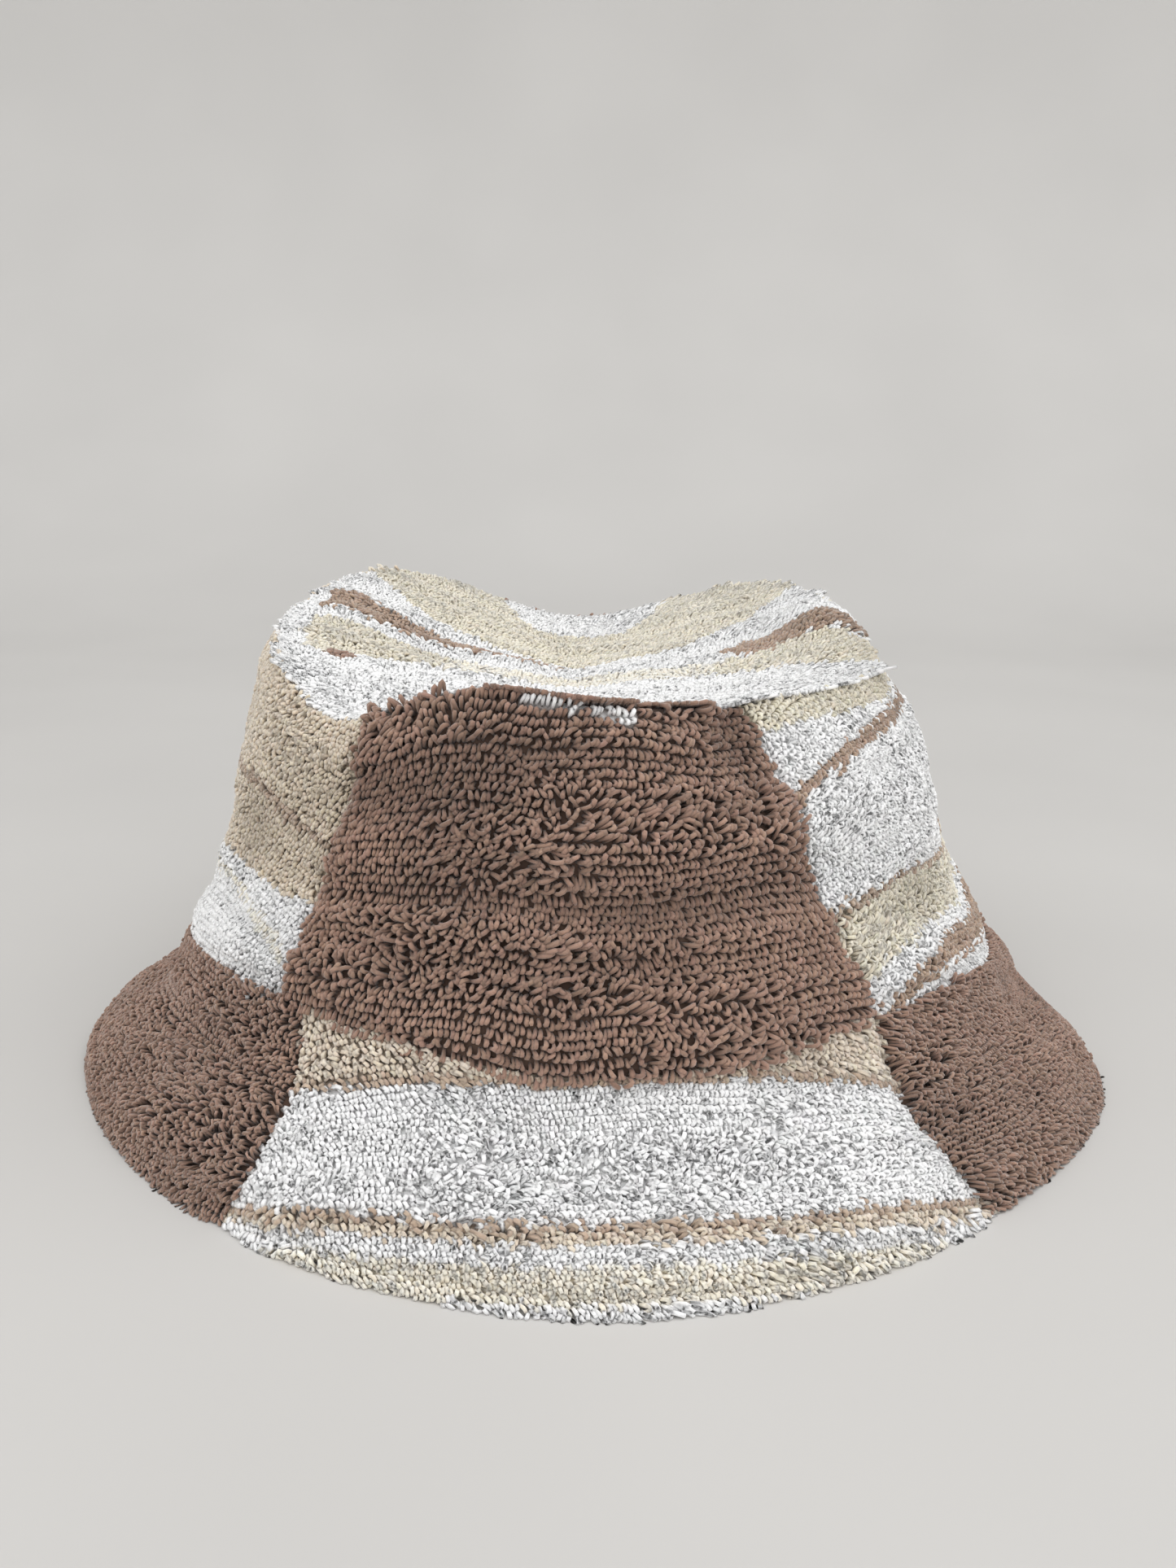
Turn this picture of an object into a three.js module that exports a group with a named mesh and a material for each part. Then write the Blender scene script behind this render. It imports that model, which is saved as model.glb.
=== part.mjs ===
// A patchwork bucket hat in looped towelling, standing on its brim.
//
// Millimetres, +Z up, front towards -Y. The shape is worked out around the middle of the crown's foot.
// Every sewn piece is its own thin closed solid. A place on the hat is given by an angle around it
// (0 at the front, growing towards +X), a share of the way along the piece, and a depth measured
// inwards from the tips of the pile.

import * as THREE from "three";

// Crown: an oval band that leans in towards its rim.
const CROWN_HALF_WIDTH = 98;
const CROWN_HALF_LENGTH = 104;
const SEAM_HEIGHT = 35;
const RIM_HEIGHT = 97;
const CROWN_LEAN = 13.5;
const CROWN_SHOULDER = 5.5;
const CROWN_SHOULDER_POWER = 6;
const CROWN_FLARE = 4;
const CROWN_FLARE_RATE = 6;
const CROWN_DRIFT = -4;

// Soft edges aren't level: each bump is [angle, spread in degrees, height].
const SEAM_BUMPS = [
  [0, 28, -7],
  [-95, 35, -5],
  [80, 25, -9.5],
  [-100, 24, -7],
];
const RIM_BUMPS = [
  [-130, 32, 12.5],
  [130, 32, 9.5],
  [180, 24, -5.5],
  [-90, 22, 2.5],
  [82, 22, -2],
  [-44, 16, -7],
  [-14, 15, 3],
];

// The foot swells out over the brim at the sides, up to this share of the crown's height.
const FOOT_SWELLS = [
  [-85, 26, 4.5],
  [82, 22, 2.5],
];
const SWELL_SHARE = 0.18;

// Crown tip: it sags in the middle, between a left and a right lobe.
const TIP_CENTRE_HEIGHT = 87.4;
const TIP_SAG_POWER = 1.5;
const TIP_LOBES = [
  { x: -71, y: 18, spread: 21, height: 9.5 },
  { x: 65, y: 16, spread: 16, height: 22 },
];

// Brim: an S in section, steep at the crown seam and at the hem and flatter halfway.
const BRIM_REACH = 28;
const BRIM_REACH_WAVE = 0.08;
const BRIM_DROP_WAVE = 0.03;
const HEM_REACH_BUMPS = [
  [0, 30, 7.5],
  [180, 34, 4],
  [66, 14, 2],
  [92, 14, -10.5],
  [-80, 14, 1],
  [-106, 16, -12],
];

// Layers, as depths below the tips of the pile.
const GAP = 0.3;
const BRIM_GAP = 0.5;
const TOWELLING = 4.5;
const LINING = 0.8;
const SWEATBAND = 1.4;
const BRIM_TOWELLING = 4;
const INTERFACING = 0.8;
const UNDERBRIM = 3;
const THREAD = 0.8;
const TAB = 0.6;

// How far each layer reaches, as shares of the crown or brim, or as heights above the table.
const FOOT_SHARE = 0.012;
const RIM_SHARE = 0.995;
const BRIM_SEAM_SHARE = 0.02;
const INTERFACING_SEAM_SHARE = 0.04;
const UNDERBRIM_HEM_HEIGHT = 1.2;
const INTERFACING_HEM_HEIGHT = 2.4;
const SWEATBAND_SHARES = [0.02, 0.48];
const SWEATBAND_THREAD_SHARE = 0.08;
const BRIM_THREAD_SHARES = { brim_thread_inner: 0.35, brim_thread_outer: 0.74 };
const TAB_SHARES = [0.14, 0.42];
const TAB_HALF_ANGLE = 6;

// The panel seams wander: each is [angle at the crown's foot, angle halfway, angle at the far end].
const CROWN_SEAMS = {
  left: [-43.5, -38.5, -35.5],
  right: [37, 32, 27],
  backRight: [140, 140, 140],
  backLeft: [-140, -140, -140],
};
const BRIM_SEAMS = {
  left: [-39.5, -34.5, -35],
  right: [37, 36.5, 38.5],
  backRight: [140, 140, 140],
  backLeft: [-140, -140, -140],
};
const SEAM_GAP_ANGLE = 0.24;

// Facets.
const FULL_TURN = 360;
const DEGREES_PER_FACET = 6;
const COLUMNS_ROUND = FULL_TURN / DEGREES_PER_FACET;
const CROWN_ROWS = 6;
const TIP_ROWS = 6;
const BRIM_ROWS = 5;
const BAND_ROWS = 3;
const THREAD_SIDES = 5;
const HALVINGS = 40;

const BROWN = 0x8b7062;
const STRIPED_WHITE = 0xeeece6;
const CREAM = 0xdecdac;
const COTTON = 0xe6ddcb;
const TWILL = 0xd8cbb4;
const FELT = 0xf2f0ea;

const ROUGHNESS = { towelling: 0.95, cotton: 0.85, twill: 0.8, felt: 0.9, thread: 0.6 };

// Moves the hat so that the origin lies under the middle of its box.
const TO_MIDDLE = [1.92, 1.85, 0];

const hat = new THREE.Group();

function bump(distance, spread, height) {
  return height * Math.exp(-((distance / spread) ** 2));
}

function angleBetween(a, b) {
  return Math.abs(((a - b + 540) % FULL_TURN) - 180);
}

function sumOfBumps(angle, bumps) {
  const heights = bumps.map(([at, spread, height]) => bump(angleBetween(angle, at), spread, height));
  return heights.reduce((sum, height) => sum + height, 0);
}

function rimHeight(angle) {
  return RIM_HEIGHT + sumOfBumps(angle, RIM_BUMPS);
}

function seamHeight(angle) {
  return SEAM_HEIGHT + sumOfBumps(angle, SEAM_BUMPS);
}

function footSwell(angle) {
  return sumOfBumps(angle, FOOT_SWELLS);
}

// A point on the oval that lies `inset` inside the crown's foot.
function ovalPoint(angle, inset, height) {
  const turn = THREE.MathUtils.degToRad(angle);
  const x = (CROWN_HALF_WIDTH - inset) * Math.sin(turn);
  const y = -(CROWN_HALF_LENGTH - inset) * Math.cos(turn);
  return new THREE.Vector3(x, y, height);
}

// share: 0 at the brim seam, 1 at the rim.
function crownPoint(angle, share, depth) {
  const foot = seamHeight(angle);
  const rise = rimHeight(angle) - foot;
  const flareLeft = Math.exp(-CROWN_FLARE_RATE * share);
  const swell = bump(share, SWELL_SHARE, footSwell(angle));
  const inset = CROWN_LEAN * share
    + CROWN_SHOULDER * share ** CROWN_SHOULDER_POWER
    + CROWN_FLARE * (1 - flareLeft)
    - swell;
  const leanRate = CROWN_LEAN
    + CROWN_SHOULDER * CROWN_SHOULDER_POWER * share ** (CROWN_SHOULDER_POWER - 1)
    + CROWN_FLARE * CROWN_FLARE_RATE * flareLeft
    + (2 * share * swell) / SWELL_SHARE ** 2;
  const slope = Math.atan2(leanRate, rise);
  const height = foot + rise * share - depth * Math.sin(slope);
  const point = ovalPoint(angle, inset + depth * Math.cos(slope), height);
  point.x += CROWN_DRIFT * share;
  return point;
}

// share: 1 at the rim, 0 at the middle of the tip.
function tipPoint(angle, share, depth) {
  const rim = crownPoint(angle, 1, 0);
  const under = crownPoint(angle, 1, depth);
  const x = THREE.MathUtils.lerp(CROWN_DRIFT, under.x, share);
  const y = under.y * share;
  const sag = THREE.MathUtils.lerp(TIP_CENTRE_HEIGHT, rim.z, share ** TIP_SAG_POWER);
  const lobes = TIP_LOBES.reduce(
    (sum, lobe) => sum + bump(Math.hypot(x - lobe.x, y - lobe.y), lobe.spread, lobe.height), 0);
  const edgeFade = 1 - share ** 4;
  const drop = THREE.MathUtils.lerp(rim.z - under.z, depth, edgeFade);
  return new THREE.Vector3(x, y, sag + lobes * edgeFade - drop);
}

// share: 0 at the crown seam, 1 where the pile ends at the hem.
function brimPoint(angle, share, depth) {
  const foot = seamHeight(angle);
  const turn = 2 * Math.PI;
  const swell = footSwell(angle);
  const reach = BRIM_REACH + sumOfBumps(angle, HEM_REACH_BUMPS) - swell;
  const outwards = swell + reach * (share - BRIM_REACH_WAVE * Math.sin(turn * share));
  const down = foot * (share + BRIM_DROP_WAVE * Math.sin(turn * share));
  const outRate = reach * (1 - turn * BRIM_REACH_WAVE * Math.cos(turn * share));
  const downRate = foot * (1 + turn * BRIM_DROP_WAVE * Math.cos(turn * share));
  const slope = Math.atan2(downRate, outRate);
  return ovalPoint(angle, depth * Math.sin(slope) - outwards, foot - down - depth * Math.cos(slope));
}

// The share at which a brim layer comes down to the given height.
function brimShareAtHeight(angle, height, depth) {
  let low = 0;
  let high = 1.2;
  for (let step = 0; step < HALVINGS; step += 1) {
    const middle = (low + high) / 2;
    if (brimPoint(angle, middle, depth).z > height) low = middle;
    else high = middle;
  }
  return low;
}

// A closed shell between two grids. point(u, v, inner) gives a corner; u runs around the hat and v
// runs up it or in towards its middle. `ring` joins the last column to the first, and `pole` draws
// the last row together in one corner.
function shell(point, columns, rows, { ring = false, pole = false } = {}) {
  const positions = [];
  const faces = [];
  const columnCount = ring ? columns : columns + 1;
  const rowCount = pole ? rows : rows + 1;
  const sideSize = columnCount * rowCount + (pole ? 1 : 0);

  for (const inner of [false, true]) {
    for (let row = 0; row < rowCount; row += 1) {
      for (let column = 0; column < columnCount; column += 1) {
        positions.push(...point(column / columns, row / rows, inner).toArray());
      }
    }
    if (pole) positions.push(...point(0, 1, inner).toArray());
  }

  const corner = (column, row, inner) => {
    const start = inner ? sideSize : 0;
    if (pole && row === rows) return start + sideSize - 1;
    return start + row * columnCount + (column % columnCount);
  };
  // Two triangles between four corners, each [column, row, inner], without the ones a pole closes.
  const quad = (...corners) => {
    const [a, b, c, d] = corners.map((place) => corner(...place));
    if (b !== c && a !== b) faces.push(a, b, c);
    if (c !== d && d !== a) faces.push(a, c, d);
  };

  for (let column = 0; column < columns; column += 1) {
    const next = column + 1;
    for (let row = 0; row < rows; row += 1) {
      const up = row + 1;
      quad([column, row, false], [next, row, false], [next, up, false], [column, up, false]);
      quad([column, row, true], [column, up, true], [next, up, true], [next, row, true]);
    }
    quad([column, 0, true], [next, 0, true], [next, 0, false], [column, 0, false]);
    if (!pole) {
      quad([column, rows, false], [next, rows, false], [next, rows, true], [column, rows, true]);
    }
  }
  if (!ring) {
    for (let row = 0; row < rows; row += 1) {
      const up = row + 1;
      quad([0, row, true], [0, row, false], [0, up, false], [0, up, true]);
      quad([columns, row, false], [columns, row, true], [columns, up, true], [columns, up, false]);
    }
  }
  const geometry = new THREE.BufferGeometry();
  geometry.setAttribute("position", new THREE.Float32BufferAttribute(positions, 3));
  geometry.setIndex(faces);
  geometry.computeVertexNormals();
  return geometry;
}

// A thread lying in a closed ring. path(angle, up, inwards) gives a point beside its middle line.
function threadRing(path) {
  const positions = [];
  const faces = [];
  for (let column = 0; column < COLUMNS_ROUND; column += 1) {
    const nextColumn = (column + 1) % COLUMNS_ROUND;
    for (let side = 0; side < THREAD_SIDES; side += 1) {
      const nextSide = (side + 1) % THREAD_SIDES;
      const turn = (side / THREAD_SIDES) * 2 * Math.PI;
      const up = (THREAD / 2) * Math.cos(turn);
      const inwards = (THREAD / 2) * Math.sin(turn);
      positions.push(...path(column * DEGREES_PER_FACET, up, inwards).toArray());
      const a = column * THREAD_SIDES + side;
      const b = nextColumn * THREAD_SIDES + side;
      const c = nextColumn * THREAD_SIDES + nextSide;
      const d = column * THREAD_SIDES + nextSide;
      faces.push(a, b, c, a, c, d);
    }
  }
  const geometry = new THREE.BufferGeometry();
  geometry.setAttribute("position", new THREE.Float32BufferAttribute(positions, 3));
  geometry.setIndex(faces);
  geometry.computeVertexNormals();
  return geometry;
}

function addPart(name, geometry, color, roughness) {
  const material = new THREE.MeshStandardMaterial({ color, roughness, metalness: 0 });
  const mesh = new THREE.Mesh(geometry.translate(...TO_MIDDLE), material);
  mesh.name = name;
  hat.add(mesh);
}

// A seam's angle at a share of its length, on the curve through its three given angles.
function seamAngle([foot, middle, end], share) {
  const fromFoot = foot * (1 - share) * (1 - 2 * share);
  const fromMiddle = middle * 4 * share * (1 - share);
  const fromEnd = end * share * (2 * share - 1);
  return fromFoot + fromMiddle + fromEnd;
}

// The angle at a share of the way across a panel, clear of the seams at its two sides.
function panelAngle(start, end, across, share) {
  const first = seamAngle(start, share) + SEAM_GAP_ANGLE / 2;
  let last = seamAngle(end, share) - SEAM_GAP_ANGLE / 2;
  if (last < first) last += FULL_TURN;
  return THREE.MathUtils.lerp(first, last, across);
}

function panelColumns(start, end) {
  const span = (end[0] - start[0] + FULL_TURN) % FULL_TURN;
  return Math.round(span / DEGREES_PER_FACET);
}

function panelSides(seams) {
  return {
    front: [seams.left, seams.right],
    right: [seams.right, seams.backRight],
    back: [seams.backRight, seams.backLeft],
    left: [seams.backLeft, seams.left],
  };
}

// A crown layer between two heights, given as shares of the way up.
function crownPanel([start, end], [bottom, top], outerDepth, thickness, rows) {
  const point = (across, up, inner) => {
    const share = THREE.MathUtils.lerp(bottom, top, up);
    const depth = inner ? outerDepth + thickness : outerDepth;
    return crownPoint(panelAngle(start, end, across, share), share, depth);
  };
  return shell(point, panelColumns(start, end), rows);
}

// A brim layer from the given height near the hem up to the crown seam.
function brimPanel([start, end], hemHeight, outerDepth, thickness) {
  const point = (across, up, inner) => {
    const angle = panelAngle(start, end, across, 1 - up);
    const depth = inner ? outerDepth + thickness : outerDepth;
    const hemShare = brimShareAtHeight(angle, hemHeight, depth);
    return brimPoint(angle, THREE.MathUtils.lerp(hemShare, BRIM_SEAM_SHARE, up), depth);
  };
  return shell(point, panelColumns(start, end), BRIM_ROWS);
}

function tipDisc(outerDepth, thickness) {
  const point = (around, inwards, inner) => {
    const depth = inner ? outerDepth + thickness : outerDepth;
    return tipPoint(around * FULL_TURN, 1 - inwards, depth);
  };
  return shell(point, COLUMNS_ROUND, TIP_ROWS, { ring: true, pole: true });
}

const CROWN_COLOURS = { front: BROWN, right: STRIPED_WHITE, back: BROWN, left: CREAM };
const BRIM_COLOURS = { front: STRIPED_WHITE, right: BROWN, back: STRIPED_WHITE, left: BROWN };
const liningDepth = TOWELLING + GAP;
const bandDepth = liningDepth + LINING + GAP;

function addCrown() {
  for (const [side, seams] of Object.entries(panelSides(CROWN_SEAMS))) {
    const outer = crownPanel(seams, [FOOT_SHARE, RIM_SHARE], 0, TOWELLING, CROWN_ROWS);
    addPart(`crown_side_${side}`, outer, CROWN_COLOURS[side], ROUGHNESS.towelling);
    const lining = crownPanel(seams, [FOOT_SHARE, RIM_SHARE], liningDepth, LINING, CROWN_ROWS);
    addPart(`lining_side_${side}`, lining, COTTON, ROUGHNESS.cotton);
  }
  addPart("crown_tip", tipDisc(0, TOWELLING), STRIPED_WHITE, ROUGHNESS.towelling);
  addPart("lining_tip", tipDisc(liningDepth, LINING), COTTON, ROUGHNESS.cotton);
}

function addBrim() {
  const interfacingDepth = BRIM_TOWELLING + BRIM_GAP;
  const underDepth = interfacingDepth + INTERFACING + BRIM_GAP;
  for (const [side, seams] of Object.entries(panelSides(BRIM_SEAMS))) {
    const top = brimPanel(seams, 0, 0, BRIM_TOWELLING);
    addPart(`brim_top_${side}`, top, BRIM_COLOURS[side], ROUGHNESS.towelling);
    const under = brimPanel(seams, UNDERBRIM_HEM_HEIGHT, underDepth, UNDERBRIM);
    addPart(`brim_under_${side}`, under, STRIPED_WHITE, ROUGHNESS.towelling);
  }
  const interfacing = (around, up, inner) => {
    const angle = around * FULL_TURN;
    const depth = inner ? interfacingDepth + INTERFACING : interfacingDepth;
    const hemShare = brimShareAtHeight(angle, INTERFACING_HEM_HEIGHT, depth);
    return brimPoint(angle, THREE.MathUtils.lerp(hemShare, INTERFACING_SEAM_SHARE, up), depth);
  };
  const stiffener = shell(interfacing, COLUMNS_ROUND, BRIM_ROWS, { ring: true });
  addPart("brim_interfacing", stiffener, FELT, ROUGHNESS.felt);

  const threadDepth = underDepth + UNDERBRIM + BRIM_GAP + THREAD / 2;
  for (const [name, share] of Object.entries(BRIM_THREAD_SHARES)) {
    const path = (angle, up, inwards) => {
      return brimPoint(angle, share - up / BRIM_REACH, threadDepth + inwards);
    };
    addPart(name, threadRing(path), CREAM, ROUGHNESS.thread);
  }
}

function addSweatband() {
  const endAngle = (FULL_TURN - SEAM_GAP_ANGLE) / 2;
  const band = (across, up, inner) => {
    const angle = THREE.MathUtils.lerp(-endAngle, endAngle, across);
    const share = THREE.MathUtils.lerp(...SWEATBAND_SHARES, up);
    return crownPoint(angle, share, inner ? bandDepth + SWEATBAND : bandDepth);
  };
  addPart("sweatband", shell(band, COLUMNS_ROUND, BAND_ROWS), TWILL, ROUGHNESS.twill);

  const threadDepth = bandDepth + SWEATBAND + GAP + THREAD / 2;
  const thread = (angle, up, inwards) => {
    const rise = rimHeight(angle) - seamHeight(angle);
    return crownPoint(angle, SWEATBAND_THREAD_SHARE + up / rise, threadDepth + inwards);
  };
  addPart("sweatband_thread", threadRing(thread), CREAM, ROUGHNESS.thread);
}

// A blank tab on the sweatband, across the back.
function addTab() {
  const first = FULL_TURN / 2 - TAB_HALF_ANGLE;
  const tabSides = [[first, first, first], [-first, -first, -first]];
  const tabDepth = bandDepth + SWEATBAND + GAP;
  const tab = crownPanel(tabSides, TAB_SHARES, tabDepth, TAB, BAND_ROWS);
  addPart("size_tab", tab, FELT, ROUGHNESS.felt);
}

addCrown();
addBrim();
addSweatband();
addTab();

export default hat;
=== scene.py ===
"""A patchwork bucket hat in looped towelling: its looks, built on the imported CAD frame.

The shape is worked out in millimetres. A place on the hat is an angle around it (0 at the front,
growing towards +X), a share of the way along the piece, and a depth measured inwards from the tips
of the pile. Every cut piece of towelling is a thin ground cloth with its pile of yarn loops on it.
"""

import math
from dataclasses import dataclass, replace

import bpy
import numpy as np
from mathutils import Matrix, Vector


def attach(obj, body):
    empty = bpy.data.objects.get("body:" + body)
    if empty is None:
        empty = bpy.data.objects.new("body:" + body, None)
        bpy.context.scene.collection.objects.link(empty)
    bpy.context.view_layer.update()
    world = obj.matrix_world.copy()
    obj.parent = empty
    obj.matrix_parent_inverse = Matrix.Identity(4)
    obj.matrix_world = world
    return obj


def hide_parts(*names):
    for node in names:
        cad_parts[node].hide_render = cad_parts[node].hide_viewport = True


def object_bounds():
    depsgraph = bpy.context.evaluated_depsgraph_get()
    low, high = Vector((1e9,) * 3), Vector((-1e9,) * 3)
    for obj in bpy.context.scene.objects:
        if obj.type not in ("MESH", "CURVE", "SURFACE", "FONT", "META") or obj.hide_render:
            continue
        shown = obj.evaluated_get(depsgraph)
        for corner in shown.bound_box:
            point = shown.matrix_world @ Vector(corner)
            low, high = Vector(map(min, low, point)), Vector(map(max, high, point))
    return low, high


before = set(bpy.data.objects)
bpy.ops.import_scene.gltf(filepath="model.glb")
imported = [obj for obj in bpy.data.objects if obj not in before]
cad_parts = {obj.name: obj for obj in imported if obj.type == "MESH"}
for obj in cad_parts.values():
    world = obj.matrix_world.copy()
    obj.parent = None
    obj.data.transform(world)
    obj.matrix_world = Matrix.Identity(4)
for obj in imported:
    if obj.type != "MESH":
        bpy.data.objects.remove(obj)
cad_box = [list(corner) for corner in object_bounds()]

# ---------------------------------------------------------------- sizes, in millimetres and degrees

# From foot to rim the crown's side comes in by its lean, shoulder and flare, and drifts sideways.
CROWN_HALF_WIDTH = 98
CROWN_HALF_LENGTH = 104
SEAM_HEIGHT = 35
RIM_HEIGHT = 97
CROWN_LEAN = 13.5
CROWN_SHOULDER = 5.5
CROWN_SHOULDER_POWER = 6
CROWN_FLARE = 4
CROWN_FLARE_RATE = 6
CROWN_DRIFT = -4
SMALLEST_SHARE = 1e-6

# Rises, swellings and dips around the hat: (angle, spread in degrees, how much).
SEAM_BUMPS = [(0, 28, -7), (-95, 35, -5), (80, 25, -9.5), (-100, 24, -7)]
FOOT_SWELLS = [(-85, 26, 4.5), (82, 22, 2.5)]
RIM_BUMPS = [(-130, 32, 12.5), (130, 32, 9.5), (180, 24, -5.5), (-90, 22, 2.5), (82, 22, -2)]
RIM_BUMPS += [(-44, 16, -7), (-14, 15, 3)]
HEM_REACH_BUMPS = [(0, 30, 7.5), (180, 34, 4), (66, 14, 2), (92, 14, -10.5)]
HEM_REACH_BUMPS += [(-80, 14, 1), (-106, 16, -12)]
SWELL_SHARE = 0.18

# The tip sags to its middle, between two lobes: (x, y, spread, height).
TIP_CENTRE_HEIGHT = 87.4
TIP_SAG_POWER = 1.5
TIP_LOBES = [(-71, 18, 21, 9.5), (65, 16, 16, 22)]

# The brim's section is an S. Its waves are shares of its reach outwards and of its drop.
BRIM_REACH = 28
BRIM_REACH_WAVE = 0.08
BRIM_DROP_WAVE = 0.03
HEM_SEARCH = (0.5, 1.1)
HEM_SEARCH_ROUNDS = 20

# Each seam's angle at the start, the middle and the end of the crown or of the brim.
CROWN_SEAMS = {
    "left": (-43.5, -38.5, -35.5),
    "right": (37, 32, 27),
    "back_right": (140, 140, 140),
    "back_left": (-140, -140, -140),
}
BRIM_SEAMS = {
    "left": (-39.5, -34.5, -35),
    "right": (37, 36.5, 38.5),
    "back_right": (140, 140, 140),
    "back_left": (-140, -140, -140),
}

# One millimetre of the hat in the frame's metres, and the shift that puts the middle of the hat's box
# over the frame's origin.
HAT_WIDTH = 245
MM = (cad_box[1][0] - cad_box[0][0]) / HAT_WIDTH
TO_MIDDLE = np.array([1.92, 1.85, 0])

# Depths below the tips of the pile.
PILE_ROOT = 2.9
GROUND_BACK = 4.1
INTERFACING_DEPTHS = (4.5, 5.3)
UNDERBRIM_BACK = 6.0
UNDERBRIM_ROOT = 7.0
BRIM_THREAD_DEPTH = 9.7
LINING_DEPTHS = (4.8, 5.6)
SWEATBAND_DEPTHS = (5.9, 7.3)
SWEATBAND_THREAD_DEPTH = 8.0
TAB_DEPTHS = (7.6, 8.2)

# How far the other layers reach, as shares of the crown or brim, or as heights above the table.
INTERFACING_SEAM_SHARE = 0.04
INTERFACING_HEM_HEIGHT = 2.4
UNDERBRIM_HEM_HEIGHT = 1.2
SWEATBAND_SHARES = (0.02, 0.48)
SWEATBAND_THREAD_SHARE = 0.08
BRIM_THREAD_SHARES = {"brim_thread_inner": 0.35, "brim_thread_outer": 0.74}
TAB_SHARES = (0.14, 0.42)
TAB_HALF_ANGLE = 6

# No loop goes lower than this over the table.
TABLE_CLEARANCE = 0.15

# Smooth noise is a sum of waves.
NOISE_WAVES = 8
NOISE_RATE = 2.2
NOISE_RANGE = 2.6

# The random numbers of each kind of piece, with a step from panel to panel.
CROWN_SEED = 11
BRIM_SEED = 111
FACING_SEED = 211
TIP_SEED = 311
STITCH_SEED = 411
SEED_STEP = 10


# ------------------------------------------------------------------------------- the hat's surfaces


def bump(distance, spread, height):
    return height * np.exp(-((distance / spread) ** 2))


def angle_between(a, b):
    return np.abs((a - b + 540) % 360 - 180)


def sum_of_bumps(angle, bumps):
    return sum(bump(angle_between(angle, at), spread, height) for at, spread, height in bumps)


def rim_height(angle):
    return RIM_HEIGHT + sum_of_bumps(angle, RIM_BUMPS)


def seam_height(angle):
    return SEAM_HEIGHT + sum_of_bumps(angle, SEAM_BUMPS)


def foot_swell(angle):
    return sum_of_bumps(angle, FOOT_SWELLS)


def oval_point(angle, inset, height):
    turn = np.radians(angle)
    x = (CROWN_HALF_WIDTH - inset) * np.sin(turn)
    y = -(CROWN_HALF_LENGTH - inset) * np.cos(turn)
    return np.stack([x, y, height + 0 * turn], -1)


def crown_point(angle, share, depth):
    """A place on the crown's side: share is 0 at its foot and 1 at its rim."""
    foot = seam_height(angle)
    rise = rim_height(angle) - foot
    flare = np.exp(-CROWN_FLARE_RATE * share)
    shoulder = CROWN_SHOULDER * share**CROWN_SHOULDER_POWER
    swell = bump(share, SWELL_SHARE, foot_swell(angle))
    inset = CROWN_LEAN * share + shoulder + CROWN_FLARE * (1 - flare) - swell
    rate = CROWN_LEAN + CROWN_SHOULDER_POWER * shoulder / np.maximum(share, SMALLEST_SHARE)
    rate = rate + 2 * share * swell / SWELL_SHARE**2
    slope = np.arctan2(rate + CROWN_FLARE * CROWN_FLARE_RATE * flare, rise)
    point = oval_point(angle, inset + depth * np.cos(slope), foot + rise * share - depth * np.sin(slope))
    point[..., 0] += CROWN_DRIFT * share
    return point


def tip_point(angle, share, depth):
    """A place on the crown's tip: share is 0 in its middle and 1 at the rim."""
    rim = crown_point(angle, np.ones_like(angle), 0 * angle)
    under = crown_point(angle, np.ones_like(angle), depth + 0 * angle)
    x = CROWN_DRIFT + (under[..., 0] - CROWN_DRIFT) * share
    y = under[..., 1] * share
    sag = TIP_CENTRE_HEIGHT + (rim[..., 2] - TIP_CENTRE_HEIGHT) * share**TIP_SAG_POWER
    lobes = 0
    for at_x, at_y, spread, height in TIP_LOBES:
        lobes = lobes + bump(np.hypot(x - at_x, y - at_y), spread, height)
    free = 1 - share**4
    drop = (rim[..., 2] - under[..., 2]) * (1 - free) + depth * free
    return np.stack([x, y, sag + lobes * free - drop], -1)


def brim_point(angle, share, depth):
    """A place on the brim: share is 0 at the crown's foot and 1 at the hem."""
    foot = seam_height(angle)
    wave = 2 * math.pi * share
    swell = foot_swell(angle)
    reach = BRIM_REACH + sum_of_bumps(angle, HEM_REACH_BUMPS) - swell
    out = swell + reach * (share - BRIM_REACH_WAVE * np.sin(wave))
    down = foot * (share + BRIM_DROP_WAVE * np.sin(wave))
    steep = foot * (1 + 2 * math.pi * BRIM_DROP_WAVE * np.cos(wave))
    flat = reach * (1 - 2 * math.pi * BRIM_REACH_WAVE * np.cos(wave))
    slope = np.arctan2(steep, flat)
    return oval_point(angle, depth * np.sin(slope) - out, foot - down - depth * np.cos(slope))


def seam_angle(knots, share):
    """A seam's angle at a share, on the parabola through its angles at shares of 0, a half and 1."""
    start, middle, end = knots
    first = start * (1 - share) * (1 - 2 * share)
    last = end * share * (2 * share - 1)
    return first + middle * 4 * share * (1 - share) + last


def brim_share_at_height(angle, height, depth):
    """The share at which the brim's surface at that depth comes down to that height."""
    low = HEM_SEARCH[0] + 0 * angle
    high = HEM_SEARCH[1] + 0 * angle
    for _ in range(HEM_SEARCH_ROUNDS):
        middle = (low + high) / 2
        above = brim_point(angle, middle, depth)[..., 2] > height
        low = np.where(above, middle, low)
        high = np.where(above, high, middle)
    return low


def soft_noise(points, size, seed):
    """Smooth noise of about -1 to 1 that changes over about size millimetres."""
    waves = np.random.default_rng(seed)
    total = 0
    for _ in range(NOISE_WAVES):
        direction = waves.normal(size=3) * NOISE_RATE / size
        total = total + np.sin(points @ direction + waves.uniform(0, 2 * math.pi))
    return total / NOISE_RANGE


def ramp(value, start, end):
    """Rises from 0 at the start to 1 at the end, and stays level before and after."""
    return np.clip((value - start) / (end - start), 0, 1)


# --------------------------------------------------------------------------------------- materials

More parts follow.
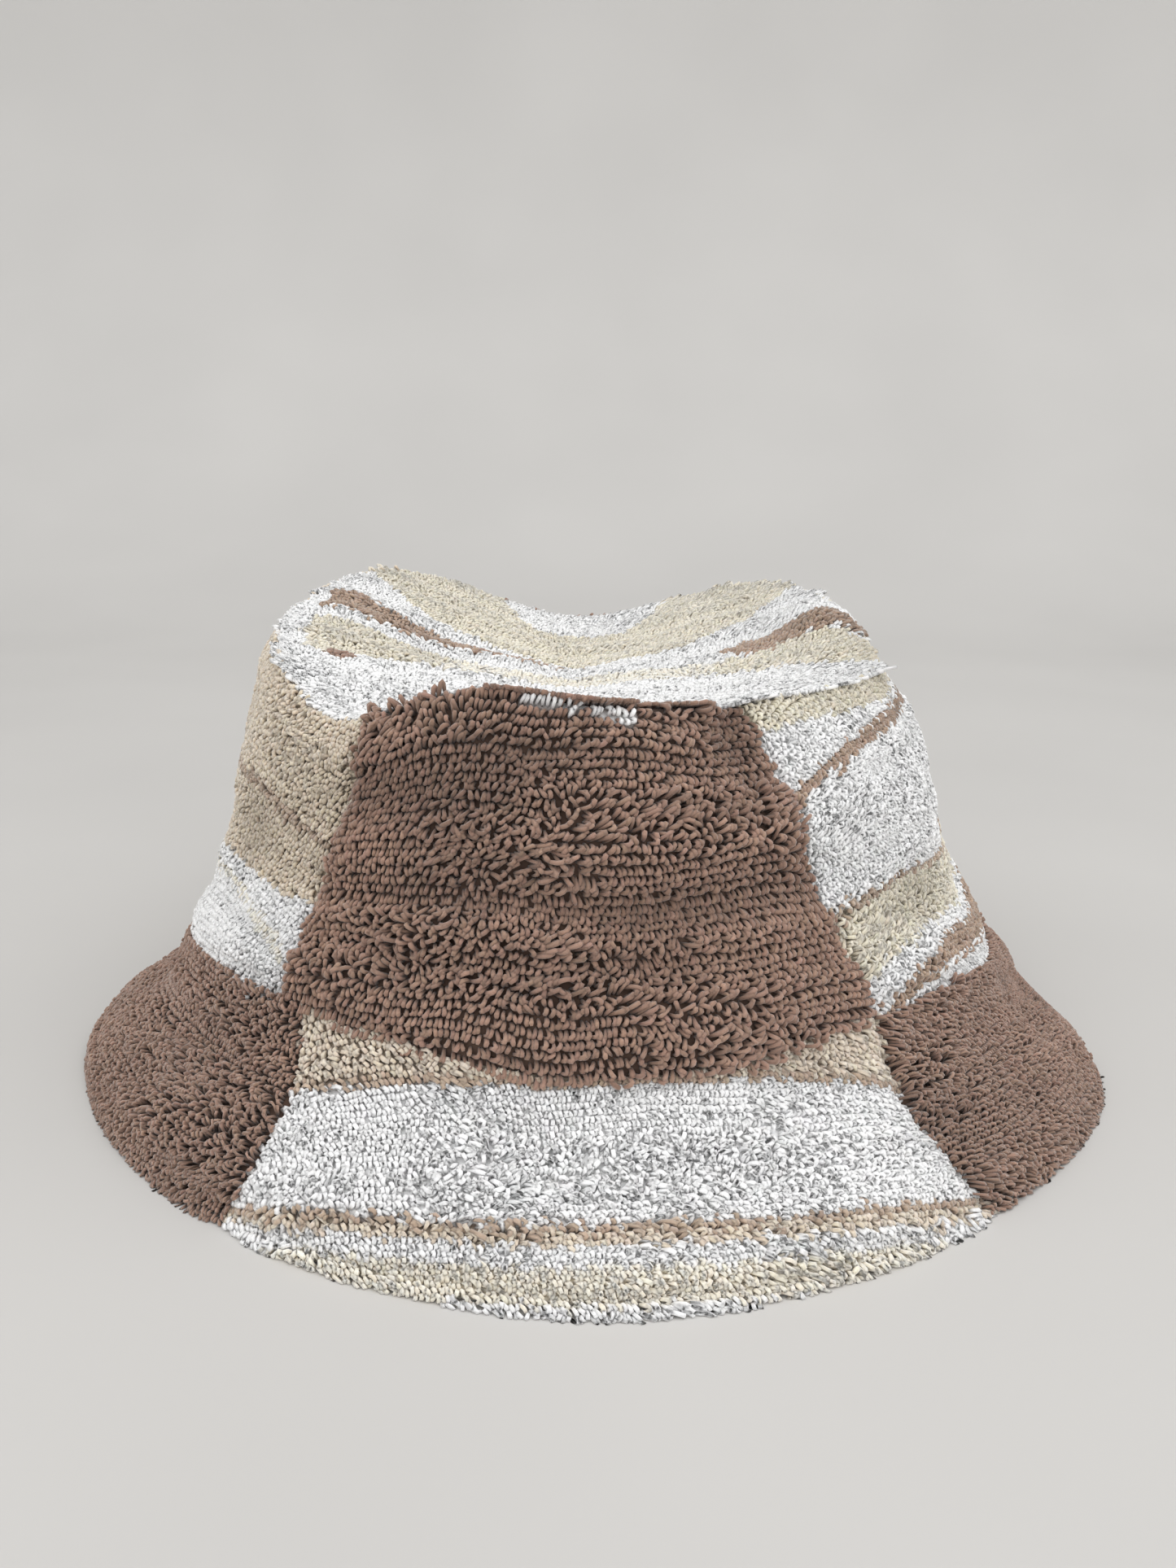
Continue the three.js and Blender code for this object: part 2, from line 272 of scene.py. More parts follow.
WHITE = (0.97, 0.97, 0.97)
PALE = (0.87, 0.78, 0.62)
CREAM = (0.69, 0.62, 0.48)
BEIGE = (0.6, 0.495, 0.375)
SAND = (0.65, 0.545, 0.43)
TAN = (0.42, 0.32, 0.245)
MOCHA = (0.36, 0.255, 0.19)
BROWN = (0.28, 0.178, 0.134)
LINEN = (0.78, 0.72, 0.62)
TWILL = (0.66, 0.57, 0.45)
FELT = (0.8, 0.79, 0.76)
TAB = (0.8, 0.78, 0.74)
PAPER = (0.52, 0.51, 0.495)

# How much of the light goes into dark and pale cotton, and how far it spreads there, in metres.
DARK_YARN_SOFTNESS = 0.3
PALE_YARN_SOFTNESS = 1.0
YARN_LIGHT_REACH = 0.002

# Noise over a surface: its changes in a metre, and the two brightness factors it goes between.
FIBRE_NOISE = (2600.0, 0.94, 1.04)
PATCH_NOISE = (28.0, 0.97, 1.02)
SLUB_NOISE = (160.0, 0.93, 1.04)
PAPER_NOISE = (6.0, 0.97, 1.02)
# A wave texture turns by this much, in radians, over one unit at a scale of 1.
WAVE_TURN = 20


def new_material(name, roughness, sheen):
    material = bpy.data.materials.new(name)
    material.use_nodes = True
    tree = material.node_tree
    shader = tree.nodes["Principled BSDF"]
    shader.inputs["Roughness"].default_value = roughness
    shader.inputs["Sheen Weight"].default_value = sheen
    shader.inputs["Sheen Roughness"].default_value = 0.5
    shader.inputs["Specular IOR Level"].default_value = 0.2
    return material, tree, shader


def add_node(tree, kind, **values):
    """A node with its settings, and with values on its sockets, whose names have spaces for _."""
    node = tree.nodes.new(kind)
    for key, value in values.items():
        if hasattr(node, key):
            setattr(node, key, value)
        else:
            node.inputs[key.replace("_", " ")].default_value = value
    return node


def noise_factor(tree, scale, low, high):
    """A noise in the object's own space, spread between two brightness factors."""
    place = add_node(tree, "ShaderNodeTexCoord")
    noise = add_node(tree, "ShaderNodeTexNoise", Scale=scale, Detail=2.0)
    spread = add_node(tree, "ShaderNodeMapRange", From_Min=0.3, From_Max=0.7, To_Min=low, To_Max=high)
    tree.links.new(place.outputs["Object"], noise.inputs["Vector"])
    tree.links.new(noise.outputs["Fac"], spread.inputs["Value"])
    return spread.outputs["Result"]


def scaled_colour(tree, colour, factor):
    mix = add_node(tree, "ShaderNodeVectorMath", operation="SCALE")
    tree.links.new(colour, mix.inputs[0])
    tree.links.new(factor, mix.inputs["Scale"])
    return mix.outputs["Vector"]


def towelling_material(name):
    """Dyed cotton yarn: the colour painted on each point, with its painted shade, and fibre-sized and
    hand-sized variation over it.
    """
    material, tree, shader = new_material(name, roughness=0.92, sheen=0.2)
    shader.inputs["Subsurface Radius"].default_value = (1, 1, 1)
    shader.inputs["Subsurface Scale"].default_value = YARN_LIGHT_REACH
    yarn = add_node(tree, "ShaderNodeAttribute", attribute_name="yarn")
    softness = add_node(tree, "ShaderNodeMapRange", From_Min=0.2, From_Max=0.8)
    softness.inputs["To Min"].default_value = DARK_YARN_SOFTNESS
    softness.inputs["To Max"].default_value = PALE_YARN_SOFTNESS
    tree.links.new(yarn.outputs["Fac"], softness.inputs["Value"])
    tree.links.new(softness.outputs["Result"], shader.inputs["Subsurface Weight"])
    fibres = noise_factor(tree, *FIBRE_NOISE)
    patches = noise_factor(tree, *PATCH_NOISE)
    colour = scaled_colour(tree, scaled_colour(tree, yarn.outputs["Color"], fibres), patches)
    tree.links.new(colour, shader.inputs["Base Color"])
    return material


def woven_material(name, colour, pitch, contrast, directions=("X", "Y")):
    """A flat weave: bands of threads in one or two directions of the cloth, a pitch apart in mm."""
    material, tree, shader = new_material(name, roughness=0.85, sheen=0.1)
    cloth = add_node(tree, "ShaderNodeAttribute", attribute_name="cloth")
    base = add_node(tree, "ShaderNodeRGB")
    base.outputs[0].default_value = (*colour, 1)
    tinted = base.outputs[0]
    for direction in directions:
        scale = 2 * math.pi / (WAVE_TURN * pitch)
        wave = add_node(tree, "ShaderNodeTexWave", Scale=scale, Distortion=0.4)
        wave.bands_direction = direction
        tree.links.new(cloth.outputs["Vector"], wave.inputs["Vector"])
        spread = add_node(tree, "ShaderNodeMapRange", To_Min=1 - contrast, To_Max=1.0)
        tree.links.new(wave.outputs["Fac"], spread.inputs["Value"])
        tinted = scaled_colour(tree, tinted, spread.outputs["Result"])
    tinted = scaled_colour(tree, tinted, noise_factor(tree, *SLUB_NOISE))
    tree.links.new(tinted, shader.inputs["Base Color"])
    return material


PILE_CLOTH = towelling_material("looped cotton pile")
GROUND_CLOTH = towelling_material("cotton ground weave")
THREAD = towelling_material("sewing thread")
LINING_CLOTH = woven_material("plain cotton lining", LINEN, pitch=0.55, contrast=0.22)
TWILL_CLOTH = woven_material("cotton twill", TWILL, pitch=0.9, contrast=0.3, directions=["DIAGONAL"])
FELT_CLOTH = woven_material("interfacing felt", FELT, pitch=0.8, contrast=0.1)
TAB_CLOTH = woven_material("woven tab", TAB, pitch=0.4, contrast=0.15)


# ------------------------------------------------------------------------------------ mesh building

# In the bake image a sheet's two faces lie side by side, its walls share a small cell, and each tube
# has a cell with a margin and a small disc in its corner for the two ends.
CORNERS = [(0, 0), (0, 1), (1, 1), (1, 0)]
SHEET_CELL = np.array([0.485, 0.97])
BACK_CELL_AT = np.array([0.5, 0])
WALL_CELL = 0.004
WALL_CELL_AT = 0.99
TUBE_MARGIN = 0.08
TUBE_CELL = 0.84
CAP_CELL = 0.03


def build_mesh(name, points, faces, cells, material, colours=None, cloth=None):
    """A smooth mesh from points in millimetres. faces is a list of vertex-index arrays, one array for
    each number of sides, and cells holds the matching place of every corner in the bake image."""
    mesh = bpy.data.meshes.new(name)
    mesh.vertices.add(len(points))
    mesh.vertices.foreach_set("co", ((points + TO_MIDDLE) * MM).astype(np.float32).ravel())
    corners = np.concatenate([group.ravel() for group in faces])
    sides = np.concatenate([np.full(len(group), group.shape[1]) for group in faces])
    starts = np.concatenate([[0], np.cumsum(sides)[:-1]])
    mesh.loops.add(len(corners))
    mesh.loops.foreach_set("vertex_index", corners.astype(np.int32))
    mesh.polygons.add(len(sides))
    mesh.polygons.foreach_set("loop_start", starts.astype(np.int32))
    mesh.update(calc_edges=True)
    bake = mesh.uv_layers.new(name="OFBake")
    places = np.concatenate([group.reshape(-1, 2) for group in cells])
    bake.data.foreach_set("uv", places.astype(np.float32).ravel())
    if colours is not None:
        layer = mesh.color_attributes.new("yarn", "FLOAT_COLOR", "POINT")
        rgba = np.concatenate([colours, np.ones((len(colours), 1))], 1)
        layer.data.foreach_set("color", rgba.astype(np.float32).ravel())
    if cloth is not None:
        layer = mesh.attributes.new("cloth", "FLOAT_VECTOR", "POINT")
        layer.data.foreach_set("vector", cloth.astype(np.float32).ravel())
    mesh.shade_smooth()
    mesh.materials.append(material)
    piece = bpy.data.objects.new(name, mesh)
    bpy.context.scene.collection.objects.link(piece)
    return piece


def grid_faces(columns, rows, ring):
    """Quads of a grid whose point (column, row) has index row * columns + column."""
    last = columns if ring else columns - 1
    column, row = np.meshgrid(np.arange(last), np.arange(rows - 1))
    column, row = column.ravel(), row.ravel()
    after = (column + 1) % columns
    quads = [row * columns + column, row * columns + after]
    quads += [(row + 1) * columns + after, (row + 1) * columns + column]
    places = [(column, row), (column + 1, row), (column + 1, row + 1), (column, row + 1)]
    cells = np.stack([np.stack([x / last, y / (rows - 1)], -1) for x, y in places], 1)
    return np.stack(quads, 1), cells


def cloth_shell(name, outer, inner, material, paint=None, cloth=None, ring=False):
    """A closed thin cloth between two grids of points, rows x columns x 3."""
    rows, columns = outer.shape[:2]
    points = np.concatenate([outer.reshape(-1, 3), inner.reshape(-1, 3)])
    half = rows * columns
    quads, cells = grid_faces(columns, rows, ring)
    along = np.arange(columns)
    edges = [(along, False), ((rows - 1) * columns + along, True)]
    if not ring:
        up = np.arange(rows) * columns
        edges = [(up, True), (up + columns - 1, False)] + edges
    walls = []
    for line, turned in edges:
        following = np.roll(line, -1) if ring else line[1:]
        start = line if ring else line[:-1]
        wall = np.stack([start, start + half, following + half, following], 1)
        walls.append(wall[:, ::-1] if turned else wall)
    walls = np.concatenate(walls)
    wall_cell = WALL_CELL_AT + WALL_CELL * np.array(CORNERS)
    wall_cells = np.broadcast_to(wall_cell, (len(walls), 4, 2))
    faces = [quads, quads[:, ::-1] + half, walls]
    places = [cells * SHEET_CELL, cells[:, ::-1] * SHEET_CELL + BACK_CELL_AT, wall_cells]
    colours = None if paint is None else np.concatenate([paint.reshape(-1, 3)] * 2)
    woven = None if cloth is None else np.concatenate([cloth.reshape(-1, 3)] * 2)
    return build_mesh(name, points, faces, places, material, colours, woven)


def tube_rings(lines, across, radius, sides):
    """The points around each line: lines x points x sides x 3."""
    tangent = np.gradient(lines, axis=1)
    tangent /= np.linalg.norm(tangent, axis=2, keepdims=True)
    side = across[:, None] - (across[:, None] * tangent).sum(2, keepdims=True) * tangent
    side /= np.linalg.norm(side, axis=2, keepdims=True)
    out = np.cross(tangent, side)
    rings = []
    for k in range(sides):
        turn = 2 * math.pi * (k + 0.5) / sides
        rings.append(lines + radius[..., None] * (math.cos(turn) * side + math.sin(turn) * out))
    points = np.stack(rings, 2)
    points[..., 2] = np.maximum(points[..., 2], TABLE_CLEARANCE)
    return points


def tube_faces(count, steps, sides):
    """The walls and the two ends of each tube."""
    index = np.arange(count * steps * sides).reshape(count, steps, sides)
    near = index[:, :-1]
    far = index[:, 1:]
    walls = np.stack([near, np.roll(near, -1, 2), np.roll(far, -1, 2), far], -1)
    ends = np.stack([index[:, 0, ::-1], index[:, -1]], 1)
    return [walls.reshape(-1, 4), ends.reshape(-1, sides)]


def tube_cells(count, steps, sides):
    """The places of the tubes' walls and ends in the bake image, on a square grid of cells."""
    step, k = np.meshgrid(np.arange(steps - 1), np.arange(sides), indexing="ij")
    corner = np.stack([np.stack([step + a, k + b], -1) for a, b in CORNERS], 2)
    corner = corner / [steps - 1, sides]
    turns = 2 * math.pi * np.arange(sides) / sides
    cap = CAP_CELL + CAP_CELL * np.stack([np.cos(turns), np.sin(turns)], -1)
    grid = math.ceil(math.sqrt(count))
    cell = np.stack([np.arange(count) % grid, np.arange(count) // grid], -1)
    walls = (cell[:, None, None, None] + TUBE_MARGIN + TUBE_CELL * corner[None]) / grid
    caps = (cell[:, None, None] + np.stack([cap, cap[::-1]])[None]) / grid
    return [walls.reshape(-1, 4, 2), caps.reshape(-1, sides, 2)]


def tubes_mesh(name, lines, across, radius, colours, material, sides=4):
    """Yarn loops or stitches, each a closed tube along its line. lines is loops x points x 3, across a
    unit vector for each loop at right angles to its plane, radius and colours are loops x points."""
    count, steps = lines.shape[:2]
    points = tube_rings(lines, across, radius, sides).reshape(-1, 3)
    paint = np.repeat(colours.reshape(-1, 3), sides, axis=0)
    return build_mesh(
        name, points, tube_faces(count, steps, sides), tube_cells(count, steps, sides), material, paint
    )


# ------------------------------------------------------------------------------- relief and seams

# Round sizes that turn shares and angles into millimetres of cloth.
CROWN_RADIUS = 94
BRIM_RADIUS = 102
CROWN_RISE = 62
BRIM_LENGTH = 46
TIP_RADIUS = 78

# How far the cloth sinks along its side seams, and how far from them.
SIDE_DIP = 1.0
DIP_SPREAD = 2.0
# Soft waves of each surface, (height, size, seed), and how fast they rise at its seams.
CROWN_WAVES = (0.7, 20, 5)
BRIM_WAVES = (0.6, 22, 6)
TIP_WAVES = (0.5, 20, 7)
CROWN_FADE = 8
BRIM_FADE = 6
TIP_FADE = 8
CROWN_WAVE_SHAPE = [1, 1, 1.6]

# Hollows in the side of the crown and, with a depth below zero, swellings:
# (angle, spread in degrees, share, spread in share, depth).
CROWN_HOLLOWS = [(-24, 14, 0.74, 0.1, 2.4), (14, 11, 0.84, 0.03, 1.4), (21.5, 3.5, 0.9, 0.06, 2.8)]
CROWN_HOLLOWS += [(-27, 14, 0.42, 0.08, 1.9), (13, 20, 0.45, 0.08, 2.1), (5, 25, 0.6, 0.05, -0.9)]
CROWN_HOLLOWS += [(-5, 35, 0.36, 0.05, -1.1), (60, 18, 0.35, 0.12, 1.2), (-62, 14, 0.5, 0.1, 1.0)]
CROWN_HOLLOWS += [(195, 20, 0.6, 0.1, 1.6), (150, 22, 0.4, 0.1, 1.2)]
FOOT_BULGE = 1.7
FOOT_BULGE_SHARE = 0.1
FOOT_BULGE_SPREAD = 0.09
FOOT_BULGE_FADE = 16
# Places where the rim is pressed in, in the same form.
RIM_PRESSES = [(24.5, 2.4, 1, 0.2, 2.6), (80, 30, 1, 0.2, 1.8)]


def waves_over(points, waves):
    height, size, seed = waves
    return height * soft_noise(points, size, seed)


def rim_press(angle):
    return sum(bump(angle_between(angle, at), spread, depth) for at, spread, _, _, depth in RIM_PRESSES)


def crown_relief(angle, share):
    """How far the side of the crown is pressed in, in mm: soft waves, dents and a full foot."""
    point = crown_point(angle, share, 0 * angle)
    free = np.clip(share * CROWN_FADE, 0, 1) * np.clip((1 - share) * CROWN_FADE, 0, 1)
    relief = waves_over(point * CROWN_WAVE_SHAPE, CROWN_WAVES) * free
    for at, spread, at_share, reach, depth in CROWN_HOLLOWS + RIM_PRESSES:
        relief = relief + bump(angle_between(angle, at), spread, depth) * bump(share - at_share, reach, 1)
    bulge = bump(share - FOOT_BULGE_SHARE, FOOT_BULGE_SPREAD, FOOT_BULGE)
    return relief - bulge * np.clip(share * FOOT_BULGE_FADE, 0, 1)


def brim_relief(angle, share):
    point = brim_point(angle, share, 0 * angle)
    free = np.clip(share * BRIM_FADE, 0, 1) * np.clip((1 - share) * BRIM_FADE, 0, 1)
    return waves_over(point, BRIM_WAVES) * free


def tip_relief(angle, share):
    point = tip_point(angle, share, 0 * angle)
    free = np.clip((1 - share) * TIP_FADE, 0, 1)
    return waves_over(point, TIP_WAVES) * free + rim_press(angle) * share**4


def crown_smooth(angle, share, depth):
    return crown_point(angle, share, depth + crown_relief(angle, share))


def brim_smooth(angle, share, depth):
    return brim_point(angle, share, depth + brim_relief(angle, share))


def tip_smooth(angle, share, depth):
    return tip_point(angle, share, depth + tip_relief(angle, share))


def side_margin(angle, share, edges, radius):
    """Distance in mm to a panel's nearer side seam."""
    left, right = edges(share)
    return np.radians(np.minimum(angle - left, right - angle)) * radius


def sunk_at_sides(smooth, edges, radius):
    """A crown or brim panel's outside: the smooth surface, sunk a little along the side seams."""

    def surface(angle, share, depth):
        sides = bump(side_margin(angle, share, edges, radius), DIP_SPREAD, SIDE_DIP)
        return smooth(angle, share, depth + sides)

    return surface


def panel_edges(seams, left, right):
    """A function that gives a panel's two side angles at a share, the right one the greater."""

    def edges(share):
        start = seam_angle(seams[left], share)
        end = seam_angle(seams[right], share)
        if left == "back_left":
            return start + 360, end + 360
        return start, end + 360 if right == "back_left" else end

    return edges


# -------------------------------------------------------------------------- how the loops stand

# Near an edge the loops lean out over it.
EDGE_LEAN = 0.8
EDGE_REACH = 3.0
SIDE_LEAN_SHARE = 0.6
BRIM_EDGE_LEAN_SHARE = 0.8
# How far all loops lean along their cloth, which is up the crown or down the brim.
CROWN_DROOP = -0.35
BRIM_DROOP = 0.3
# The tip's tuft of brown loops at the front of the rim, which stand taller.
TUFT_ANGLES = (-14.5, 9.5)
TUFT_SHARE = 0.962
TUFT_HEIGHT = 1.7
# Before the hem the loops get shorter.
HEM_SHORTENING = 0.6
HEM_SHORTENING_START = 0.85
HEM_SHORTENING_REACH = 0.1


def near_edge(distance):
    return bump(distance, EDGE_REACH, EDGE_LEAN)


def sideways_lean(angle, share, edges, radius):
    left, right = edges(share)
    sideways = near_edge(np.radians(right - angle) * radius)
    sideways = sideways - near_edge(np.radians(angle - left) * radius)
    return SIDE_LEAN_SHARE * sideways


def crown_stance(edges):
    """How far a loop leans across and along its cloth, and how much taller it is."""

    def stance(angle, share):
        upwards = near_edge((1 - share) * CROWN_RISE) - near_edge(share * CROWN_RISE)
        return sideways_lean(angle, share, edges, CROWN_RADIUS), upwards + CROWN_DROOP, 0 * angle

    return stance


def brim_stance(edges):
    def stance(angle, share):
        down = BRIM_DROOP - BRIM_EDGE_LEAN_SHARE * near_edge(share * BRIM_LENGTH)
        shortening = np.clip((share - HEM_SHORTENING_START) / HEM_SHORTENING_REACH, 0, 1)
        return sideways_lean(angle, share, edges, BRIM_RADIUS), down, -HEM_SHORTENING * shortening

    return stance


def in_tuft(angle, share):
    turn = (angle + 180) % 360 - 180
    return (share > TUFT_SHARE) & (turn > TUFT_ANGLES[0]) & (turn < TUFT_ANGLES[1])


def tip_stance(angle, share):
    outwards = near_edge((1 - share) * TIP_RADIUS)
    turn = np.radians(angle)
    return outwards * np.sin(turn), -outwards * np.cos(turn), TUFT_HEIGHT * in_tuft(angle, share)


# ------------------------------------------------------------------------- grain, rows and stripes

# Straight grain on a leaning crown: a level row's drop at a distance to the side, and its power.
LEVEL_GRAIN = (4.2, 62, 2)
SIDE_GRAIN = (9.0, 85, 4)
# Straight grain on the brim: a straight stripe bows by this much at this angle, and skews a little.
BRIM_BOW = 16
BRIM_BOW_ANGLE = 38
BRIM_SKEW = 0.03
TIP_HALF_WIDTH = 75
TIP_HALF_LENGTH = 81

# Stripes are lists of borders and of the colour before each, the brim's in mm from the crown.
BRIM_BORDERS = [(-0.6, SAND), (1.0, TAN), (26.3, WHITE), (27.9, TAN), (30.2, SAND), (34.6, WHITE)]
BRIM_BORDERS += [(42.6, PALE)]
# A side panel's borders bow: (share at the seams, share in the middle, colour below).
RIGHT_BOWS = [(-0.02, 0.08, WHITE), (-0.01, 0.16, MOCHA), (0.1, 0.212, WHITE), (0.305, 0.364, CREAM)]
RIGHT_BOWS += [(0.33, 0.39, TAN), (0.715, 0.853, WHITE), (0.765, 0.9, MOCHA), (0.92, 0.927, WHITE)]
LEFT_BOWS = [(0.0, 0.26, WHITE), (0.03, 0.285, PALE), (0.35, 0.335, WHITE), (0.52, 0.62, BEIGE)]
LEFT_BOWS += [(0.56, 0.66, TAN)]
SIDE_MIDDLE = 88
SIDE_HALF = 52

# The line of white loops caught in the seam at the rim of the front.
CAUGHT_ANGLES = (-8.5, 9)
CAUGHT_SHARE = 0.992
CAUGHT_SLOPE = 0.001
CAUGHT_HALF = 0.013

# The tip's stripes run across it. Their borders are in mm behind its middle; a move is (how far, from
# where, to where) as one goes to the side. In front a cream pocket opens in the white to both sides.
FRONT_LINE = (-79.3, -75.5)
POCKET = (-3, 6.5)
POCKET_MOVE = (7, 30, 70)
POCKET_LEFT_MOVE = (6, 40, 60)
POCKET_START = 0.7
# The brown line behind it tapers from the left to the middle and is short on the right.
LINE_LEFT = 15.7
LINE_RIGHT = 12.7
LINE_RIGHT_MOVE = (4, 30, 50)
LINE_BEND = 2
LEFT_LINE_HALF = 0.9
LEFT_LINE_GROWTH = (5, 0, 55)
RIGHT_LINE_GROWTH = (4, 36, 42)
# The two borders behind the line bend away at the sides of the tip.
TIP_SIDE = 56
BACK_WHITE = 21
BACK_WHITE_BEND = 24
BACK_CREAM = 53
BACK_CREAM_MOVE = (60, 8, 34)
SPOT_PLACE = (-58, -14)
SPOT_HALVES = (4, 3)
# Around the left the white rolls over the rim.
ROLLED_SHARE = 0.915
ROLLED_ANGLE = -88
ROLLED_HALF = 38


def crown_weave(middle, bow, half, power):
    """From cloth (p across, q up the grain, in mm) to (angle, share) on a crown panel."""

    def place(p, q):
        share = (q - bow * np.abs(p / half) ** power) / CROWN_RISE
        return middle + np.degrees(p / (CROWN_RADIUS - CROWN_LEAN * share)), share

    return place


def ring_weave(middle):
    """Rows that run round the brim."""

    def place(p, q):
        share = q / BRIM_LENGTH
        return middle + np.degrees(p / (BRIM_RADIUS + BRIM_REACH * share)), share

    return place


def straight_weave(middle):
    """Rows that run straight across a curved brim panel."""

    def place(p, q):
        turn = np.degrees(p / (BRIM_RADIUS + BRIM_REACH * np.clip(q / BRIM_LENGTH, 0, 1)))
        share = (q + BRIM_BOW * (turn / BRIM_BOW_ANGLE) ** 2 - BRIM_SKEW * turn) / BRIM_LENGTH
        return middle + turn, share

    return place


def tip_weave(p, q):
    x = p / TIP_HALF_WIDTH
    y = q / TIP_HALF_LENGTH
    return np.degrees(np.arctan2(x, -y)), np.hypot(x, y)


def painted_over(colours, where, colour):
    return np.where(where[..., None], np.array(colour), colours)


def striped(position, borders, last):
    """Colours by position: borders is [(border, colour below it), ...], rising."""
    colours = np.zeros(position.shape + (3,)) + np.array(last)
    for border, colour in reversed(borders):
        colours = painted_over(colours, position < border, colour)
    return colours


def plain(colour):
    def paint(angle, share):
        return np.zeros(np.shape(angle) + (3,)) + np.array(colour)

    return paint


def front_brown(angle, share):
    """Brown, with a line of the tip's white loops caught in the seam at the rim."""
    start, end = CAUGHT_ANGLES
    line = CAUGHT_SHARE - CAUGHT_SLOPE * (angle - start)
    caught = (np.abs(share - line) < CAUGHT_HALF) & (angle > start) & (angle < end)
    return painted_over(plain(BROWN)(angle, share), caught, WHITE)


def brim_stripes(middle):
    def paint(angle, share):
        turn = angle - middle
        position = BRIM_LENGTH * share - BRIM_BOW * (turn / BRIM_BOW_ANGLE) ** 2 + BRIM_SKEW * turn
        return striped(position, BRIM_BORDERS, WHITE)

    return paint


def bowed(edge, middle, turn):
    """A stripe border's share on a side panel, from its value at the seams and in the middle."""
    return edge + (middle - edge) * (1 - np.abs(turn) ** 4)


def side_stripes(middle, bows, last):
    """Colours of a side panel whose middle is at that angle."""

    def paint(angle, share):
        turn = ((angle - middle + 540) % 360 - 180) / SIDE_HALF
        borders = [(bowed(edge, centre, turn), colour) for edge, centre, colour in bows]
        return striped(share, borders, last)

    return paint


def moved(sideways, move, power=1):
    how_far, start, end = move
    return how_far * ramp(sideways, start, end) ** power


def tip_line(x):
    """The middle and the half width of the tip's brown line."""
    right = LINE_RIGHT - moved(x, LINE_RIGHT_MOVE)
    middle = np.where(x < 0, LINE_LEFT, right) + LINE_BEND * (np.abs(x) / TIP_SIDE) ** 2
    left_half = LEFT_LINE_HALF + moved(-x, LEFT_LINE_GROWTH, power=1.5)
    return middle, np.where(x < 0, left_half, moved(x, RIGHT_LINE_GROWTH))


def tip_stripes(angle, share):
    turn = np.radians(angle)
    x = TIP_HALF_WIDTH * share * np.sin(turn)
    y = -TIP_HALF_LENGTH * share * np.cos(turn)
    pocket = moved(np.abs(x), POCKET_MOVE)
    pocket_front = POCKET[0] - pocket - moved(-x, POCKET_LEFT_MOVE)
    middle, half = tip_line(x)
    back_white = BACK_WHITE + BACK_WHITE_BEND * (np.abs(x) / TIP_SIDE) ** 3
    back_cream = BACK_CREAM + moved(np.abs(x), BACK_CREAM_MOVE, power=2)
    borders = [(FRONT_LINE[0], WHITE), (FRONT_LINE[1], BROWN), (pocket_front, WHITE)]
    borders += [(POCKET[1], PALE), (middle - half, WHITE), (middle + half, MOCHA)]
    borders += [(back_white, WHITE), (back_cream, CREAM)]
    colours = striped(y, borders, WHITE)
    in_pocket = (pocket > POCKET_START) & (y > pocket_front) & (y < POCKET[1])
    colours = painted_over(colours, in_pocket, CREAM)
    spot = np.hypot((x - SPOT_PLACE[0]) / SPOT_HALVES[0], (y - SPOT_PLACE[1]) / SPOT_HALVES[1]) < 1
    colours = painted_over(colours, spot | in_tuft(angle, share), BROWN)
    rolled = (share > ROLLED_SHARE) & (angle_between(angle, ROLLED_ANGLE) < ROLLED_HALF)
    return painted_over(colours, rolled, WHITE)


# ----------------------------------------------------------------------------------- the towelling


@dataclass
class Yarn:
    """How a cloth's loops stand: their pitch across and along, and their size, all in mm, how untidy
    they are, and how many points and sides each one's tube has."""

    across: float
    along: float
    radius: float
    height: float
    mess: float
    points: int = 6
    sides: int = 4

    def faces(self):
        return 2 * self.sides * (self.points - 1) + 2 * (self.sides - 2)


@dataclass
class Panel:
    """A cut piece of towelling: its outside, its sides, its rows, its stripes and its pile."""

    name: str
    nodes: list
    slot: str
    surface: object
    smooth: object
    edges: object
    weave: object
    paint: object
    yarn: Yarn
    flat: tuple
    area: float
    stance: object
    relief: object


PLUMP = Yarn(across=1.12, along=1.62, radius=0.5, height=2.1, mess=1.15, points=8, sides=5)
FINE = Yarn(across=0.95, along=1.15, radius=0.5, height=1.1, mess=1.1)
SILKY = Yarn(across=0.95, along=1.2, radius=0.5, height=1.3, mess=1.2)
WOOLLY = Yarn(across=0.98, along=1.25, radius=0.53, height=1.3, mess=1.15)
LONG = Yarn(across=1.0, along=1.35, radius=0.38, height=2.6, mess=1.6)
COARSE = Yarn(across=1.8, along=2.6, radius=0.6, height=1.4, mess=0.9)

# Where cloths start and end, as shares, and the gap between two panels in degrees.
FOOT_SHARE = 0.012
SEAM_TUCK = -0.03
BRIM_SEAM_SHARE = 0.02
RIM_SHARE = 0.995
TIP_CENTRE_SHARE = 0.02
SEAM_GAP_ANGLE = 0.24
# The step between a panel's columns in mm, the rows of each grid, and a step around in degrees.
GROUND_STEP = 1.7
CROWN_ROWS = 36
BRIM_ROWS = 30
INTERFACING_ROWS = 24
INTERFACING_STEP = 2.0
HEM_HEIGHT = 0.5
HEM_COSINE = 0.75
HEM_ROOT = 1.3

# Painted shade down between the loops: its factor on black yarn, and how much paler yarn lifts it.
PAINTED_SHADE_DARKEST = 0.25
PAINTED_SHADE_LIFT = 0.85

# Where loops may stand: (greatest p, lowest q, highest q) of each cloth in mm, and their last shares.
CROWN_CLOTH = (110, -2, 84)
BRIM_CLOTH = (150, -24, 50)
FACING_CLOTH = (150, -100, 50)
TIP_CLOTH = (76, -82, 82)
TOP_ROW_SHARES = {"front": 0.999, "right": 0.999, "back": 0.955, "left": 0.999}
HEM_ROW_SHARE = 0.985
TIP_ROW_SHARE = 0.997
FACING_ROW_SHARE = 0.03
FACING_LOOP_ROOM = 1
